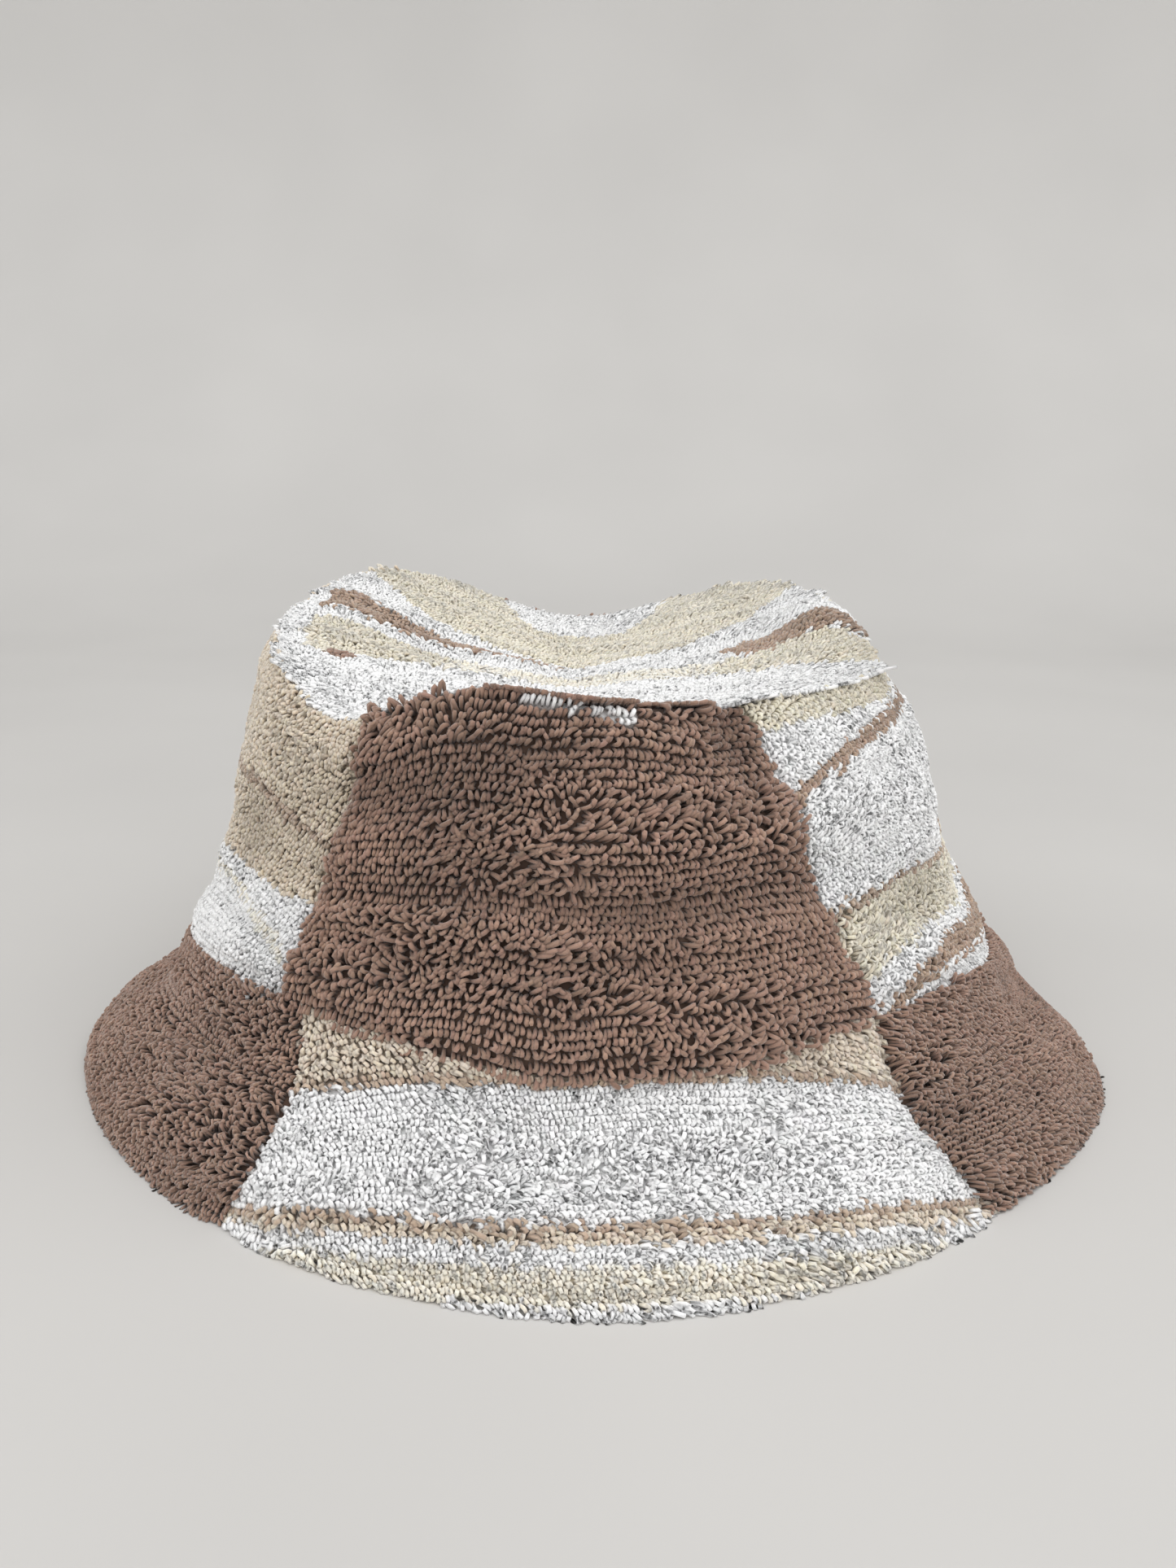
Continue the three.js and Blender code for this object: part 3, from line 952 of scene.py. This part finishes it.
# How far the pile's side edges wander, in degrees, and how fast over the angle and the share.
EDGE_WANDER = (0.3, 91, 57)
PAST_HEM = 1.05

# How the loops' places stray, as shares of their pitch, and how their rows wander, in mm.
ROW_SHIFT = 0.3
STRAY_ACROSS = 0.12
STRAY_ALONG = 0.08
ROW_WANDER = 0.8
# The distance over which a direction is measured, in mm.
NEARBY = 0.2

# The sizes of soft changes over the cloth, in mm. Ridges run along the rows.
WANDER_SIZE = 22
RIDGE_SIZE = 5.5
RIDGE_STRETCH = 0.06
PATCH_SIZE = 14
FLOW_SIZE = 8
SWAY_SIZE = 10
# How untidy the loops are: on average, and what ridges and patches add.
MESS = (0.65, 0.45, 0.4)
MESS_LIMITS = (0.4, 1.8)
# A loop's height as a share of its yarn's: on average, and what mess, ridges and chance add.
HEIGHT = (0.85, 0.2, 0.22, 0.12)
HEIGHT_LIMITS = (0.6, 1.5)
# How far the tallest loops may stand out past the tips of the pile.
HIGHEST_LOOP = 0.3
# How a loop leans across its row and along the grain, in mm, and how far its feet stand aslant, as a
# share of their distance: on average, and what ridges, the flow of untidy loops and chance add.
LEAN_ACROSS = (0.7, 0, 0.5, 0.6)
LEAN_ALONG = (0, 0.4, 0.45, 0.5)
SLANT = (0.45, 0, 0.5, 0.65)
# The distance between a loop's feet as a share of the pitch, and its thickness: average and chance.
SPAN = (0.85, 0.12)
SPAN_LIMITS = (0.5, 1.2)
THICKNESS = (1, 0.08)
# How a loop is bent: its feet are sunk in the cloth and thin, and it leans most at its top.
FOOT_SINK = 0.3
LEAN_POWER = 1.3
FOOT_THICKNESS = 0.62

# How far loops stray over the edge of a stripe, in mm.
STRIPE_STRAY = 0.45
# Painted shade: how much darker the loops in a hollow are painted for each millimetre of its depth, and the
# limits of that factor.
HOLLOW_SHADE = 0.16
HOLLOW_SHADE_LIMITS = (0.7, 1.03)
# How much the brightness changes from loop to loop in black yarn, and how much less in white.
LOOP_TONE = 0.12
LOOP_TONE_FALL = 0.09
LOOP_TINT = 0.012
BRIGHTEST = 0.985
# Painted shade: how fast a loop's colour gets brighter from its shaded feet up.
FOOT_SHADE_POWER = 0.7

FACES_IN_A_PIECE = 180000


def panel_columns(edges, share, radius):
    """Angles from side to side of a panel, a column for each ground step."""
    left, right = edges(share)
    count = int(np.max(np.radians(right - left)) * radius / GROUND_STEP) + 2
    across = np.linspace(0, 1, count)[None, :]
    return left + SEAM_GAP_ANGLE / 2 + (right - left - SEAM_GAP_ANGLE) * across


def crown_grid(edges):
    """(angle, share) from the foot of the crown up to its rim."""
    share = np.linspace(FOOT_SHARE, RIM_SHARE, CROWN_ROWS)[:, None]
    angle = panel_columns(edges, share, CROWN_RADIUS)
    return angle, share + 0 * angle


def disc_grid(rows, step):
    """(angle, share) from the rim to the middle of the tip."""
    share = np.linspace(RIM_SHARE, TIP_CENTRE_SHARE, rows)[:, None]
    angle = np.arange(0, 360, step)[None, :] + 0 * share
    return angle, share + 0 * angle


def brim_grid(edges, depth, height, start):
    """(angle, share) from near the hem up to the crown seam, for a layer of the brim."""
    up = np.linspace(0, 1, BRIM_ROWS)[:, None]
    angle = panel_columns(edges, 1 - up, BRIM_RADIUS + BRIM_REACH / 2)
    hem = brim_share_at_height(angle, height, depth)
    return angle, hem + (start - hem) * up


def shade_between_loops(colours):
    """How bright the cloth looks down between its loops, as painted shade on its colour: pale yarn passes
    light on, dark yarn doesn't.
    """
    return np.clip(PAINTED_SHADE_DARKEST + PAINTED_SHADE_LIFT * colours.mean(-1, keepdims=True), 0, 1)


# The ground cloth's colours with painted shade: darker where the pile over it shades it.
def ground_colours_with_painted_shade(panel, angle, share):
    colours = panel.paint(angle, share)
    return colours * shade_between_loops(colours)


def upper_ground(panel, angle, share, ring=False):
    """The ground cloth of a crown panel or of the tip."""
    outer = panel.surface(angle, share, PILE_ROOT + 0 * angle)
    inner = panel.smooth(angle, share, GROUND_BACK + 0 * angle)
    paint = ground_colours_with_painted_shade(panel, angle, share)
    return cloth_shell(panel.name, outer, inner, GROUND_CLOTH, paint=paint, ring=ring)


def brim_ground(panel, root, back, height, start):
    angle, share = brim_grid(panel.edges, root, height, start)
    outer = panel.surface(angle, share, root + 0 * angle)
    back_angle, back_share = brim_grid(panel.edges, back, height, start)
    inner = panel.smooth(back_angle, back_share, back + 0 * angle)
    outer[..., 2] = np.maximum(outer[..., 2], height)
    inner[..., 2] = np.maximum(inner[..., 2], height)
    paint = ground_colours_with_painted_shade(panel, angle, share)
    if root > back:
        outer, inner, paint = outer[::-1], inner[::-1], paint[::-1]
    return cloth_shell(panel.name, outer, inner, GROUND_CLOTH, paint=paint)


def unit(vector):
    return vector / np.linalg.norm(vector, axis=1, keepdims=True)


def loop_places(panel, reach, inside, seed, chance):
    """Where the loops stand, in wandering rows: p and q on the cloth, and the angle and share there."""
    yarn = panel.yarn
    far, low, high = reach
    p, q = np.meshgrid(np.arange(-far, far, yarn.across), np.arange(low, high, yarn.along))
    p = p + chance.normal(0, ROW_SHIFT * yarn.across, (len(p), 1))
    p = p.ravel() + chance.normal(0, STRAY_ACROSS * yarn.across, p.size)
    q = q.ravel() + chance.normal(0, STRAY_ALONG * yarn.along, q.size)
    q = q + ROW_WANDER * soft_noise(np.stack([p, q, 0 * p], -1), WANDER_SIZE, seed + 1)
    angle, share = panel.weave(p, q)
    kept = inside(angle, share)
    return p[kept], q[kept], angle[kept], share[kept]


def loop_axes(panel, p, q, depth, outwards):
    """Each loop's foot, and its directions across its row, along the grain and up from the cloth."""

    def at(dp, dq, raised):
        around, along = panel.weave(p + dp, q + dq)
        return panel.surface(around, np.clip(along, 0, PAST_HEM), depth + raised)

    foot = at(0, 0, 0)
    across = unit(at(NEARBY, 0, 0) - foot)
    along = unit(at(0, NEARBY, 0) - foot)
    return foot, across, along, unit(at(0, 0, outwards) - foot)


def loop_stances(panel, places, depth, foot, seed, chance):
    """How each loop stands: its height, its leans across and along, the slant of its feet, the distance
    between them and its thickness."""
    p, q, angle, share = places
    yarn = panel.yarn

    def random():
        return chance.normal(size=len(p))

    ridges = soft_noise(np.stack([RIDGE_STRETCH * p, q, 0 * p], -1), RIDGE_SIZE, seed + 2)
    patches = soft_noise(foot, PATCH_SIZE, seed + 3)
    mess = np.clip(yarn.mess * (MESS[0] + MESS[1] * ridges + MESS[2] * patches), *MESS_LIMITS)
    flow = soft_noise(foot, FLOW_SIZE, seed + 4)
    sway = soft_noise(foot, SWAY_SIZE, seed + 5)

    def untidy(start, measure, drift):
        average, by_ridge, by_drift, by_chance = measure
        return start + average + by_ridge * ridges + mess * (by_drift * drift + by_chance * random())

    stance_p, stance_q, taller = panel.stance(angle, share)
    average, by_mess, by_ridge, by_chance = HEIGHT
    height = average + by_mess * mess + by_ridge * ridges + by_chance * random()
    height = np.minimum(yarn.height * np.clip(height, *HEIGHT_LIMITS), depth + HIGHEST_LOOP) + taller
    lean_p = untidy(stance_p, LEAN_ACROSS, flow)
    lean_q = untidy(stance_q, LEAN_ALONG, sway)
    slant = untidy(0, SLANT, flow)
    span = yarn.along * np.clip(SPAN[0] + SPAN[1] * random(), *SPAN_LIMITS)
    thickness = yarn.radius * (THICKNESS[0] + THICKNESS[1] * random())
    return height, lean_p, lean_q, slant, span, thickness


def loop_lines(axes, stances, arc):
    """The middle line of each loop, from foot to foot: loops x points x 3."""
    foot, across, along, up = [axis[:, None] for axis in axes]
    height, lean_p, lean_q, slant, span, _ = [measure[:, None] for measure in stances]
    rise = height * np.sin(arc)
    rise[:, [0, -1]] = -FOOT_SINK
    swing = -0.5 * np.cos(arc) * span
    stand = np.sin(arc) ** LEAN_POWER
    local_q = swing + lean_q * stand
    local_p = slant * swing + lean_p * stand
    return foot + local_p[..., None] * across + local_q[..., None] * along + rise[..., None] * up


def loop_colours(panel, places, arc, chance):
    """The colour of each loop, with painted shade in hollows and towards its feet: loops x points x 3."""
    p, q, angle, share = places
    count = len(p)
    strayed = panel.weave(p, q + STRIPE_STRAY * chance.normal(size=count))
    # Painted shade: loops in hollows of the cloth are painted darker, and loops on swellings a little
    # lighter.
    painted_hollow_shade = np.clip(1 - HOLLOW_SHADE * panel.relief(angle, share), *HOLLOW_SHADE_LIMITS)[:, None]
    colours = panel.paint(*strayed)
    patchy = LOOP_TONE - LOOP_TONE_FALL * colours.mean(-1, keepdims=True)
    colours = colours * painted_hollow_shade * (1 + patchy * chance.normal(size=count)[:, None])
    colours = np.clip(colours * (1 + LOOP_TINT * chance.normal(size=(count, 3))), 0, BRIGHTEST)
    # Painted shade: each loop is painted darker towards its feet, where its neighbours shade it.
    shade = shade_between_loops(colours)[:, None]
    return colours[:, None] * (shade + (1 - shade) * np.sin(arc)[..., None] ** FOOT_SHADE_POWER)


def add_pile(panel, reach, inside, seed, root, outwards):
    """Stands the loops on a panel's ground cloth. reach is (greatest p, lowest q, highest q) of its
    cloth in mm, inside(angle, share) says where the cloth is, root(angle, share) how deep the loops'
    feet are, and outwards is the depth's direction towards the tips."""
    yarn = panel.yarn
    chance = np.random.default_rng(seed)
    places = loop_places(panel, reach, inside, seed, chance)
    p, q, angle, share = places
    depth = root(angle, share)
    axes = loop_axes(panel, p, q, depth, outwards)
    foot, across, along, _ = axes
    stances = loop_stances(panel, places, depth, foot, seed, chance)
    _, _, _, slant, _, thickness = stances
    arc = np.linspace(0, math.pi, yarn.points)[None, :]
    lines = loop_lines(axes, stances, arc)
    radius = thickness[:, None] * (FOOT_THICKNESS + (1 - FOOT_THICKNESS) * np.sin(arc))
    colours = loop_colours(panel, places, arc, chance)
    side = unit(across - slant[:, None] * along)
    pieces = []
    parts = math.ceil(len(p) * yarn.faces() / FACES_IN_A_PIECE)
    for number, chosen in enumerate(np.array_split(np.arange(len(p)), parts), 1):
        name = f"{panel.name}.pile_{number}"
        loops = (lines[chosen], side[chosen], radius[chosen], colours[chosen])
        pieces.append(tubes_mesh(name, *loops, PILE_CLOTH, yarn.sides))
    return pieces


def finish_panel(panel, ground, pile):
    for piece in [ground] + pile:
        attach(piece, "root")
    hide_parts(*panel.nodes)


def always(depth):
    def root(angle, share):
        return depth + 0 * angle

    return root


def between_seams(edges, low, high):
    """Where a panel's loops stand: between its side seams, and from a low to a high share, which is a
    number or changes with the angle."""
    size, around, along = EDGE_WANDER

    def inside(angle, share):
        left, right = edges(share)
        wander = size * np.sin(around * angle + along * share)
        upper = high(angle) if callable(high) else high
        return (share > low) & (share < upper) & (angle > left + wander) & (angle < right - wander)

    return inside


SIDES = {
    "front": ("left", "right", 0),
    "right": ("right", "back_right", 88.5),
    "back": ("back_right", "back_left", 180),
    "left": ("back_left", "left", 271.5),
}
CROWN_PAINTS = {
    "front": front_brown,
    "right": side_stripes(SIDE_MIDDLE, RIGHT_BOWS, CREAM),
    "back": plain(BROWN),
    "left": side_stripes(-SIDE_MIDDLE, LEFT_BOWS, BEIGE),
}
CROWN_LOOKS = {
    "front": ("brown_towelling", PLUMP, LEVEL_GRAIN, (0.128, 0.068), 0.0078),
    "right": ("striped_towelling", FINE, SIDE_GRAIN, (0.180, 0.066), 0.0109),
    "back": ("brown_towelling", PLUMP, LEVEL_GRAIN, (0.143, 0.072), 0.0094),
    "left": ("cream_towelling", FINE, SIDE_GRAIN, (0.178, 0.066), 0.0106),
}
BRIM_LOOKS = {
    "front": ("striped_towelling", brim_stripes(0), WOOLLY, (0.170, 0.052), 0.0073),
    "right": ("brown_towelling", plain(BROWN), LONG, (0.235, 0.048), 0.0093),
    "back": ("striped_towelling", brim_stripes(180), WOOLLY, (0.180, 0.052), 0.0078),
    "left": ("brown_towelling", plain(BROWN), LONG, (0.235, 0.048), 0.0095),
}


def add_crown():
    for number, (side, (left, right, middle)) in enumerate(SIDES.items()):
        slot, yarn, grain, flat, area = CROWN_LOOKS[side]
        edges = panel_edges(CROWN_SEAMS, left, right)
        panel = Panel(
            name=f"crown_{side}_towelling",
            nodes=[f"crown_side_{side}"],
            slot=slot,
            surface=sunk_at_sides(crown_smooth, edges, CROWN_RADIUS),
            smooth=crown_smooth,
            edges=edges,
            weave=crown_weave(middle, *grain),
            paint=CROWN_PAINTS[side],
            yarn=yarn,
            flat=flat,
            area=area,
            stance=crown_stance(edges),
            relief=crown_relief,
        )
        inside = between_seams(edges, 0, TOP_ROW_SHARES[side])
        pile = add_pile(panel, CROWN_CLOTH, inside, CROWN_SEED + SEED_STEP * number, always(PILE_ROOT), -1)
        finish_panel(panel, upper_ground(panel, *crown_grid(edges)), pile)


def hem_root(angle, share):
    """Loops near the hem stand higher on the cloth, so that the last ones stick out over the edge."""
    room = (brim_point(angle, share, 0 * angle)[..., 2] - 2 * HEM_HEIGHT) / HEM_COSINE
    return np.clip(room, HEM_ROOT, PILE_ROOT)


def facing_end(angle):
    """The share where the loops of the facing end over the table."""
    return brim_share_at_height(angle, UNDERBRIM_HEM_HEIGHT + FACING_LOOP_ROOM, UNDERBRIM_ROOT)


def add_brim_top(panel, seed):
    inside = between_seams(panel.edges, 0, HEM_ROW_SHARE)
    pile = add_pile(panel, BRIM_CLOTH, inside, seed, hem_root, -1)
    ground = brim_ground(panel, PILE_ROOT, GROUND_BACK, HEM_HEIGHT, SEAM_TUCK)
    finish_panel(panel, ground, pile)


def add_facing(panel, seed):
    inside = between_seams(panel.edges, FACING_ROW_SHARE, facing_end)
    pile = add_pile(panel, FACING_CLOTH, inside, seed, always(UNDERBRIM_ROOT), 1)
    ground = brim_ground(panel, UNDERBRIM_ROOT, UNDERBRIM_BACK, UNDERBRIM_HEM_HEIGHT, BRIM_SEAM_SHARE)
    finish_panel(panel, ground, pile)


def add_brim():
    for number, (side, (left, right, middle)) in enumerate(SIDES.items()):
        slot, paint, yarn, flat, area = BRIM_LOOKS[side]
        edges = panel_edges(BRIM_SEAMS, left, right)
        level = side in ("front", "back")
        top = Panel(
            name=f"brim_{side}_towelling",
            nodes=[f"brim_top_{side}"],
            slot=slot,
            surface=sunk_at_sides(brim_smooth, edges, BRIM_RADIUS),
            smooth=brim_smooth,
            edges=edges,
            weave=straight_weave(middle) if level else ring_weave(middle),
            paint=paint,
            yarn=yarn,
            flat=flat,
            area=area,
            stance=brim_stance(edges),
            relief=brim_relief,
        )
        facing = replace(
            top,
            name=f"brim_{side}_facing",
            nodes=[f"brim_under_{side}"],
            slot="striped_towelling",
            weave=straight_weave(middle),
            paint=brim_stripes(middle),
            yarn=COARSE,
        )
        add_brim_top(top, BRIM_SEED + SEED_STEP * number)
        add_facing(facing, FACING_SEED + SEED_STEP * number)


def on_tip(angle, share):
    return share < TIP_ROW_SHARE


def add_tip():
    panel = Panel(
        name="tip_towelling",
        nodes=["crown_tip"],
        slot="striped_towelling",
        surface=tip_smooth,
        smooth=tip_smooth,
        edges=None,
        weave=tip_weave,
        paint=tip_stripes,
        yarn=SILKY,
        flat=(0.160, 0.172),
        area=0.0212,
        stance=tip_stance,
        relief=tip_relief,
    )
    pile = add_pile(panel, TIP_CLOTH, on_tip, TIP_SEED, always(PILE_ROOT), -1)
    finish_panel(panel, upper_ground(panel, *disc_grid(rows=48, step=1.2), ring=True), pile)


# ------------------------------------------------------------------- lining, sweatband and stitches

STITCH = 2.6
STITCH_GAP = 0.7
STITCH_POINTS = 6
STITCH_DIVE = 0.9
THREAD_RADIUS = 0.34
THREAD_END = 0.6
THREAD_TONE = 0.05
THREAD_BRIGHTEST = 0.9
NEARBY_SHARE = 0.01


def finish_sheet(piece, node):
    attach(piece, "root")
    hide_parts(node)


def woven_shell(name, smooth, grid, depths, size, material, ring=False):
    """A sheet between two depths over a grid of angles and shares. size is the radius and the length,
    in mm, that turn these into the cloth's own directions."""
    angle, share = grid
    near, far = depths
    radius, length = size
    outer = smooth(angle, share, near + 0 * angle)
    inner = smooth(angle, share, far + 0 * angle)
    cloth = np.stack([np.radians(angle) * radius, share * length + 0 * angle, 0 * angle], -1)
    return cloth_shell(name, outer, inner, material, cloth=cloth, ring=ring)


def add_lining():
    size = (CROWN_RADIUS, CROWN_RISE)
    for side, (left, right, _) in SIDES.items():
        grid = crown_grid(panel_edges(CROWN_SEAMS, left, right))
        piece = woven_shell(f"lining_{side}", crown_smooth, grid, LINING_DEPTHS, size, LINING_CLOTH)
        finish_sheet(piece, f"lining_side_{side}")
    grid = disc_grid(rows=40, step=1.5)
    size = (0, TIP_RADIUS)
    piece = woven_shell("lining_top", tip_smooth, grid, LINING_DEPTHS, size, LINING_CLOTH, ring=True)
    finish_sheet(piece, "lining_tip")


def add_interfacing():
    up = np.linspace(0, 1, INTERFACING_ROWS)[:, None]
    angle = np.arange(0, 360, INTERFACING_STEP)[None, :] + 0 * up
    hem = brim_share_at_height(angle, INTERFACING_HEM_HEIGHT, INTERFACING_DEPTHS[1])
    grid = (angle, hem + (INTERFACING_SEAM_SHARE - hem) * up)
    size = (BRIM_RADIUS, BRIM_LENGTH)
    piece = woven_shell("brim_stiffener", brim_smooth, grid, INTERFACING_DEPTHS, size, FELT_CLOTH, ring=True)
    finish_sheet(piece, "brim_interfacing")


def add_stitches(name, node, smooth, share, depth, radius):
    """A row of single stitches around the hat; each one dives into the cloth at both ends."""
    around = 2 * math.pi * radius
    count = int(around / (STITCH + STITCH_GAP))
    arc = np.linspace(0, math.pi, STITCH_POINTS)[None, :]
    middle = np.arange(count)[:, None] * 360 / count
    angle = middle - np.cos(arc) * 180 / count * STITCH / (STITCH + STITCH_GAP)
    sunk = STITCH_DIVE * (1 - np.sin(arc) ** 0.5)
    lines = smooth(angle, share + 0 * angle, depth - sunk)
    level = 0 * middle[:, 0]
    beside = smooth(middle[:, 0], share + NEARBY_SHARE + level, depth + level)
    here = smooth(middle[:, 0], share + level, depth + level)
    thickness = THREAD_RADIUS * (THREAD_END + (1 - THREAD_END) * np.sin(arc)) + 0 * angle
    chance = np.random.default_rng(STITCH_SEED)
    colours = np.array(CREAM) * (1 + THREAD_TONE * chance.normal(size=(count, 1, 1))) + 0 * lines
    colours = np.clip(colours, 0, THREAD_BRIGHTEST)
    piece = tubes_mesh(name, lines, unit(beside - here), thickness, colours, THREAD)
    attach(piece, "root")
    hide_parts(node)
    return piece


def strip_grid(shares, middle, half_angle, rows, columns):
    """(angle, share) over a plain strip of the crown."""
    share = np.linspace(*shares, rows)[:, None]
    angle = np.linspace(middle - half_angle, middle + half_angle, columns)[None, :] + 0 * share
    return angle, share + 0 * angle


def add_sweatband():
    size = (CROWN_RADIUS, CROWN_RISE)
    grid = strip_grid(SWEATBAND_SHARES, 0, 180 - SEAM_GAP_ANGLE / 2, rows=20, columns=260)
    band = woven_shell("sweatband_tape", crown_smooth, grid, SWEATBAND_DEPTHS, size, TWILL_CLOTH)
    line = (SWEATBAND_THREAD_SHARE, SWEATBAND_THREAD_DEPTH, CROWN_RADIUS)
    thread = add_stitches("sweatband_stitches", "sweatband_thread", crown_smooth, *line)
    grid = strip_grid(TAB_SHARES, 180, TAB_HALF_ANGLE, rows=14, columns=14)
    tab = woven_shell("blank_tab", crown_smooth, grid, TAB_DEPTHS, size, TAB_CLOTH)
    finish_sheet(band, "sweatband")
    finish_sheet(tab, "size_tab")


def add_brim_stitches():
    for name, share in BRIM_THREAD_SHARES.items():
        radius = BRIM_RADIUS + BRIM_REACH * share
        add_stitches(f"{name}_stitches", name, brim_smooth, share, BRIM_THREAD_DEPTH, radius)


# ------------------------------------------------------------------------------- camera and studio

# The camera's place in metres, its pitch and roll in degrees, and its focal length as a share of the
# sensor's width.
CAMERA_PLACE = (0.00042, -0.35815, 0.152)
CAMERA_PITCH = 14.3
CAMERA_ROLL = 0.4
SENSOR = 36.0
FOCAL_SHARE = 1.2457

# The studio in metres: a floor, a curve and a wall.
FLOOR_FRONT = -2.0
CURVE_START = 0.6
CURVE_RADIUS = 0.5
CURVE_STEP = 6
WALL_HEIGHT = 2.5
STUDIO_HALF_WIDTH = 3.0

WORLD_STRENGTH = 1.15


def add_camera():
    data = bpy.data.cameras.new("camera")
    data.sensor_fit = "HORIZONTAL"
    data.sensor_width = SENSOR
    data.lens = SENSOR * FOCAL_SHARE
    data.clip_start = 0.01
    camera = bpy.data.objects.new("camera", data)
    tilt = Matrix.Rotation(math.radians(90 - CAMERA_PITCH), 4, "X")
    roll = Matrix.Rotation(math.radians(CAMERA_ROLL), 4, "Z")
    camera.matrix_world = Matrix.Translation(CAMERA_PLACE) @ tilt @ roll
    bpy.context.scene.collection.objects.link(camera)
    bpy.context.scene.camera = camera


def curve_point(degrees):
    turn = math.radians(degrees)
    return CURVE_START + CURVE_RADIUS * math.sin(turn), CURVE_RADIUS - CURVE_RADIUS * math.cos(turn)


def add_studio():
    """A pale sweep: floor, curve and wall in one."""
    profile = [(FLOOR_FRONT, 0.0)]
    profile += [curve_point(degrees) for degrees in range(0, 91, CURVE_STEP)]
    profile += [(CURVE_START + CURVE_RADIUS, WALL_HEIGHT)]
    points = [(x, y, z) for y, z in profile for x in (-STUDIO_HALF_WIDTH, STUDIO_HALF_WIDTH)]
    faces = [(2 * k, 2 * k + 1, 2 * k + 3, 2 * k + 2) for k in range(len(profile) - 1)]
    mesh = bpy.data.meshes.new("studio")
    mesh.from_pydata(points, [], faces)
    mesh.shade_smooth()
    material, tree, shader = new_material("pale paper", roughness=0.8, sheen=0.0)
    pale = add_node(tree, "ShaderNodeRGB")
    pale.outputs[0].default_value = (*PAPER, 1)
    grain = noise_factor(tree, *PAPER_NOISE)
    tree.links.new(scaled_colour(tree, pale.outputs[0], grain), shader.inputs["Base Color"])
    mesh.materials.append(material)
    studio = bpy.data.objects.new("studio", mesh)
    bpy.context.scene.collection.objects.link(studio)


def add_light(name, place, aim, size, power):
    data = bpy.data.lights.new(name, "AREA")
    data.size = size
    data.energy = power
    light = bpy.data.objects.new(name, data)
    direction = np.array(aim) - np.array(place)
    back = -direction / np.linalg.norm(direction)
    side = np.cross([0, 1, 0], back)
    side /= np.linalg.norm(side)
    up = np.cross(back, side)
    turn = Matrix([[*row] for row in np.stack([side, up, back], 1)]).to_4x4()
    light.matrix_world = Matrix.Translation(place) @ turn
    bpy.context.scene.collection.objects.link(light)


def add_world():
    world = bpy.data.worlds.new("world")
    world.use_nodes = True
    background = world.node_tree.nodes["Background"]
    background.inputs["Color"].default_value = (1, 1, 1, 1)
    background.inputs["Strength"].default_value = WORLD_STRENGTH
    bpy.context.scene.world = world


add_crown()
add_brim()
add_tip()
add_lining()
add_interfacing()
add_sweatband()
add_brim_stitches()
add_camera()
add_studio()
add_light("key", place=(0.2, -0.55, 1.0), aim=(0, 0, 0.06), size=1.8, power=7.6)
add_world()
bpy.context.scene.view_settings.view_transform = "Standard"
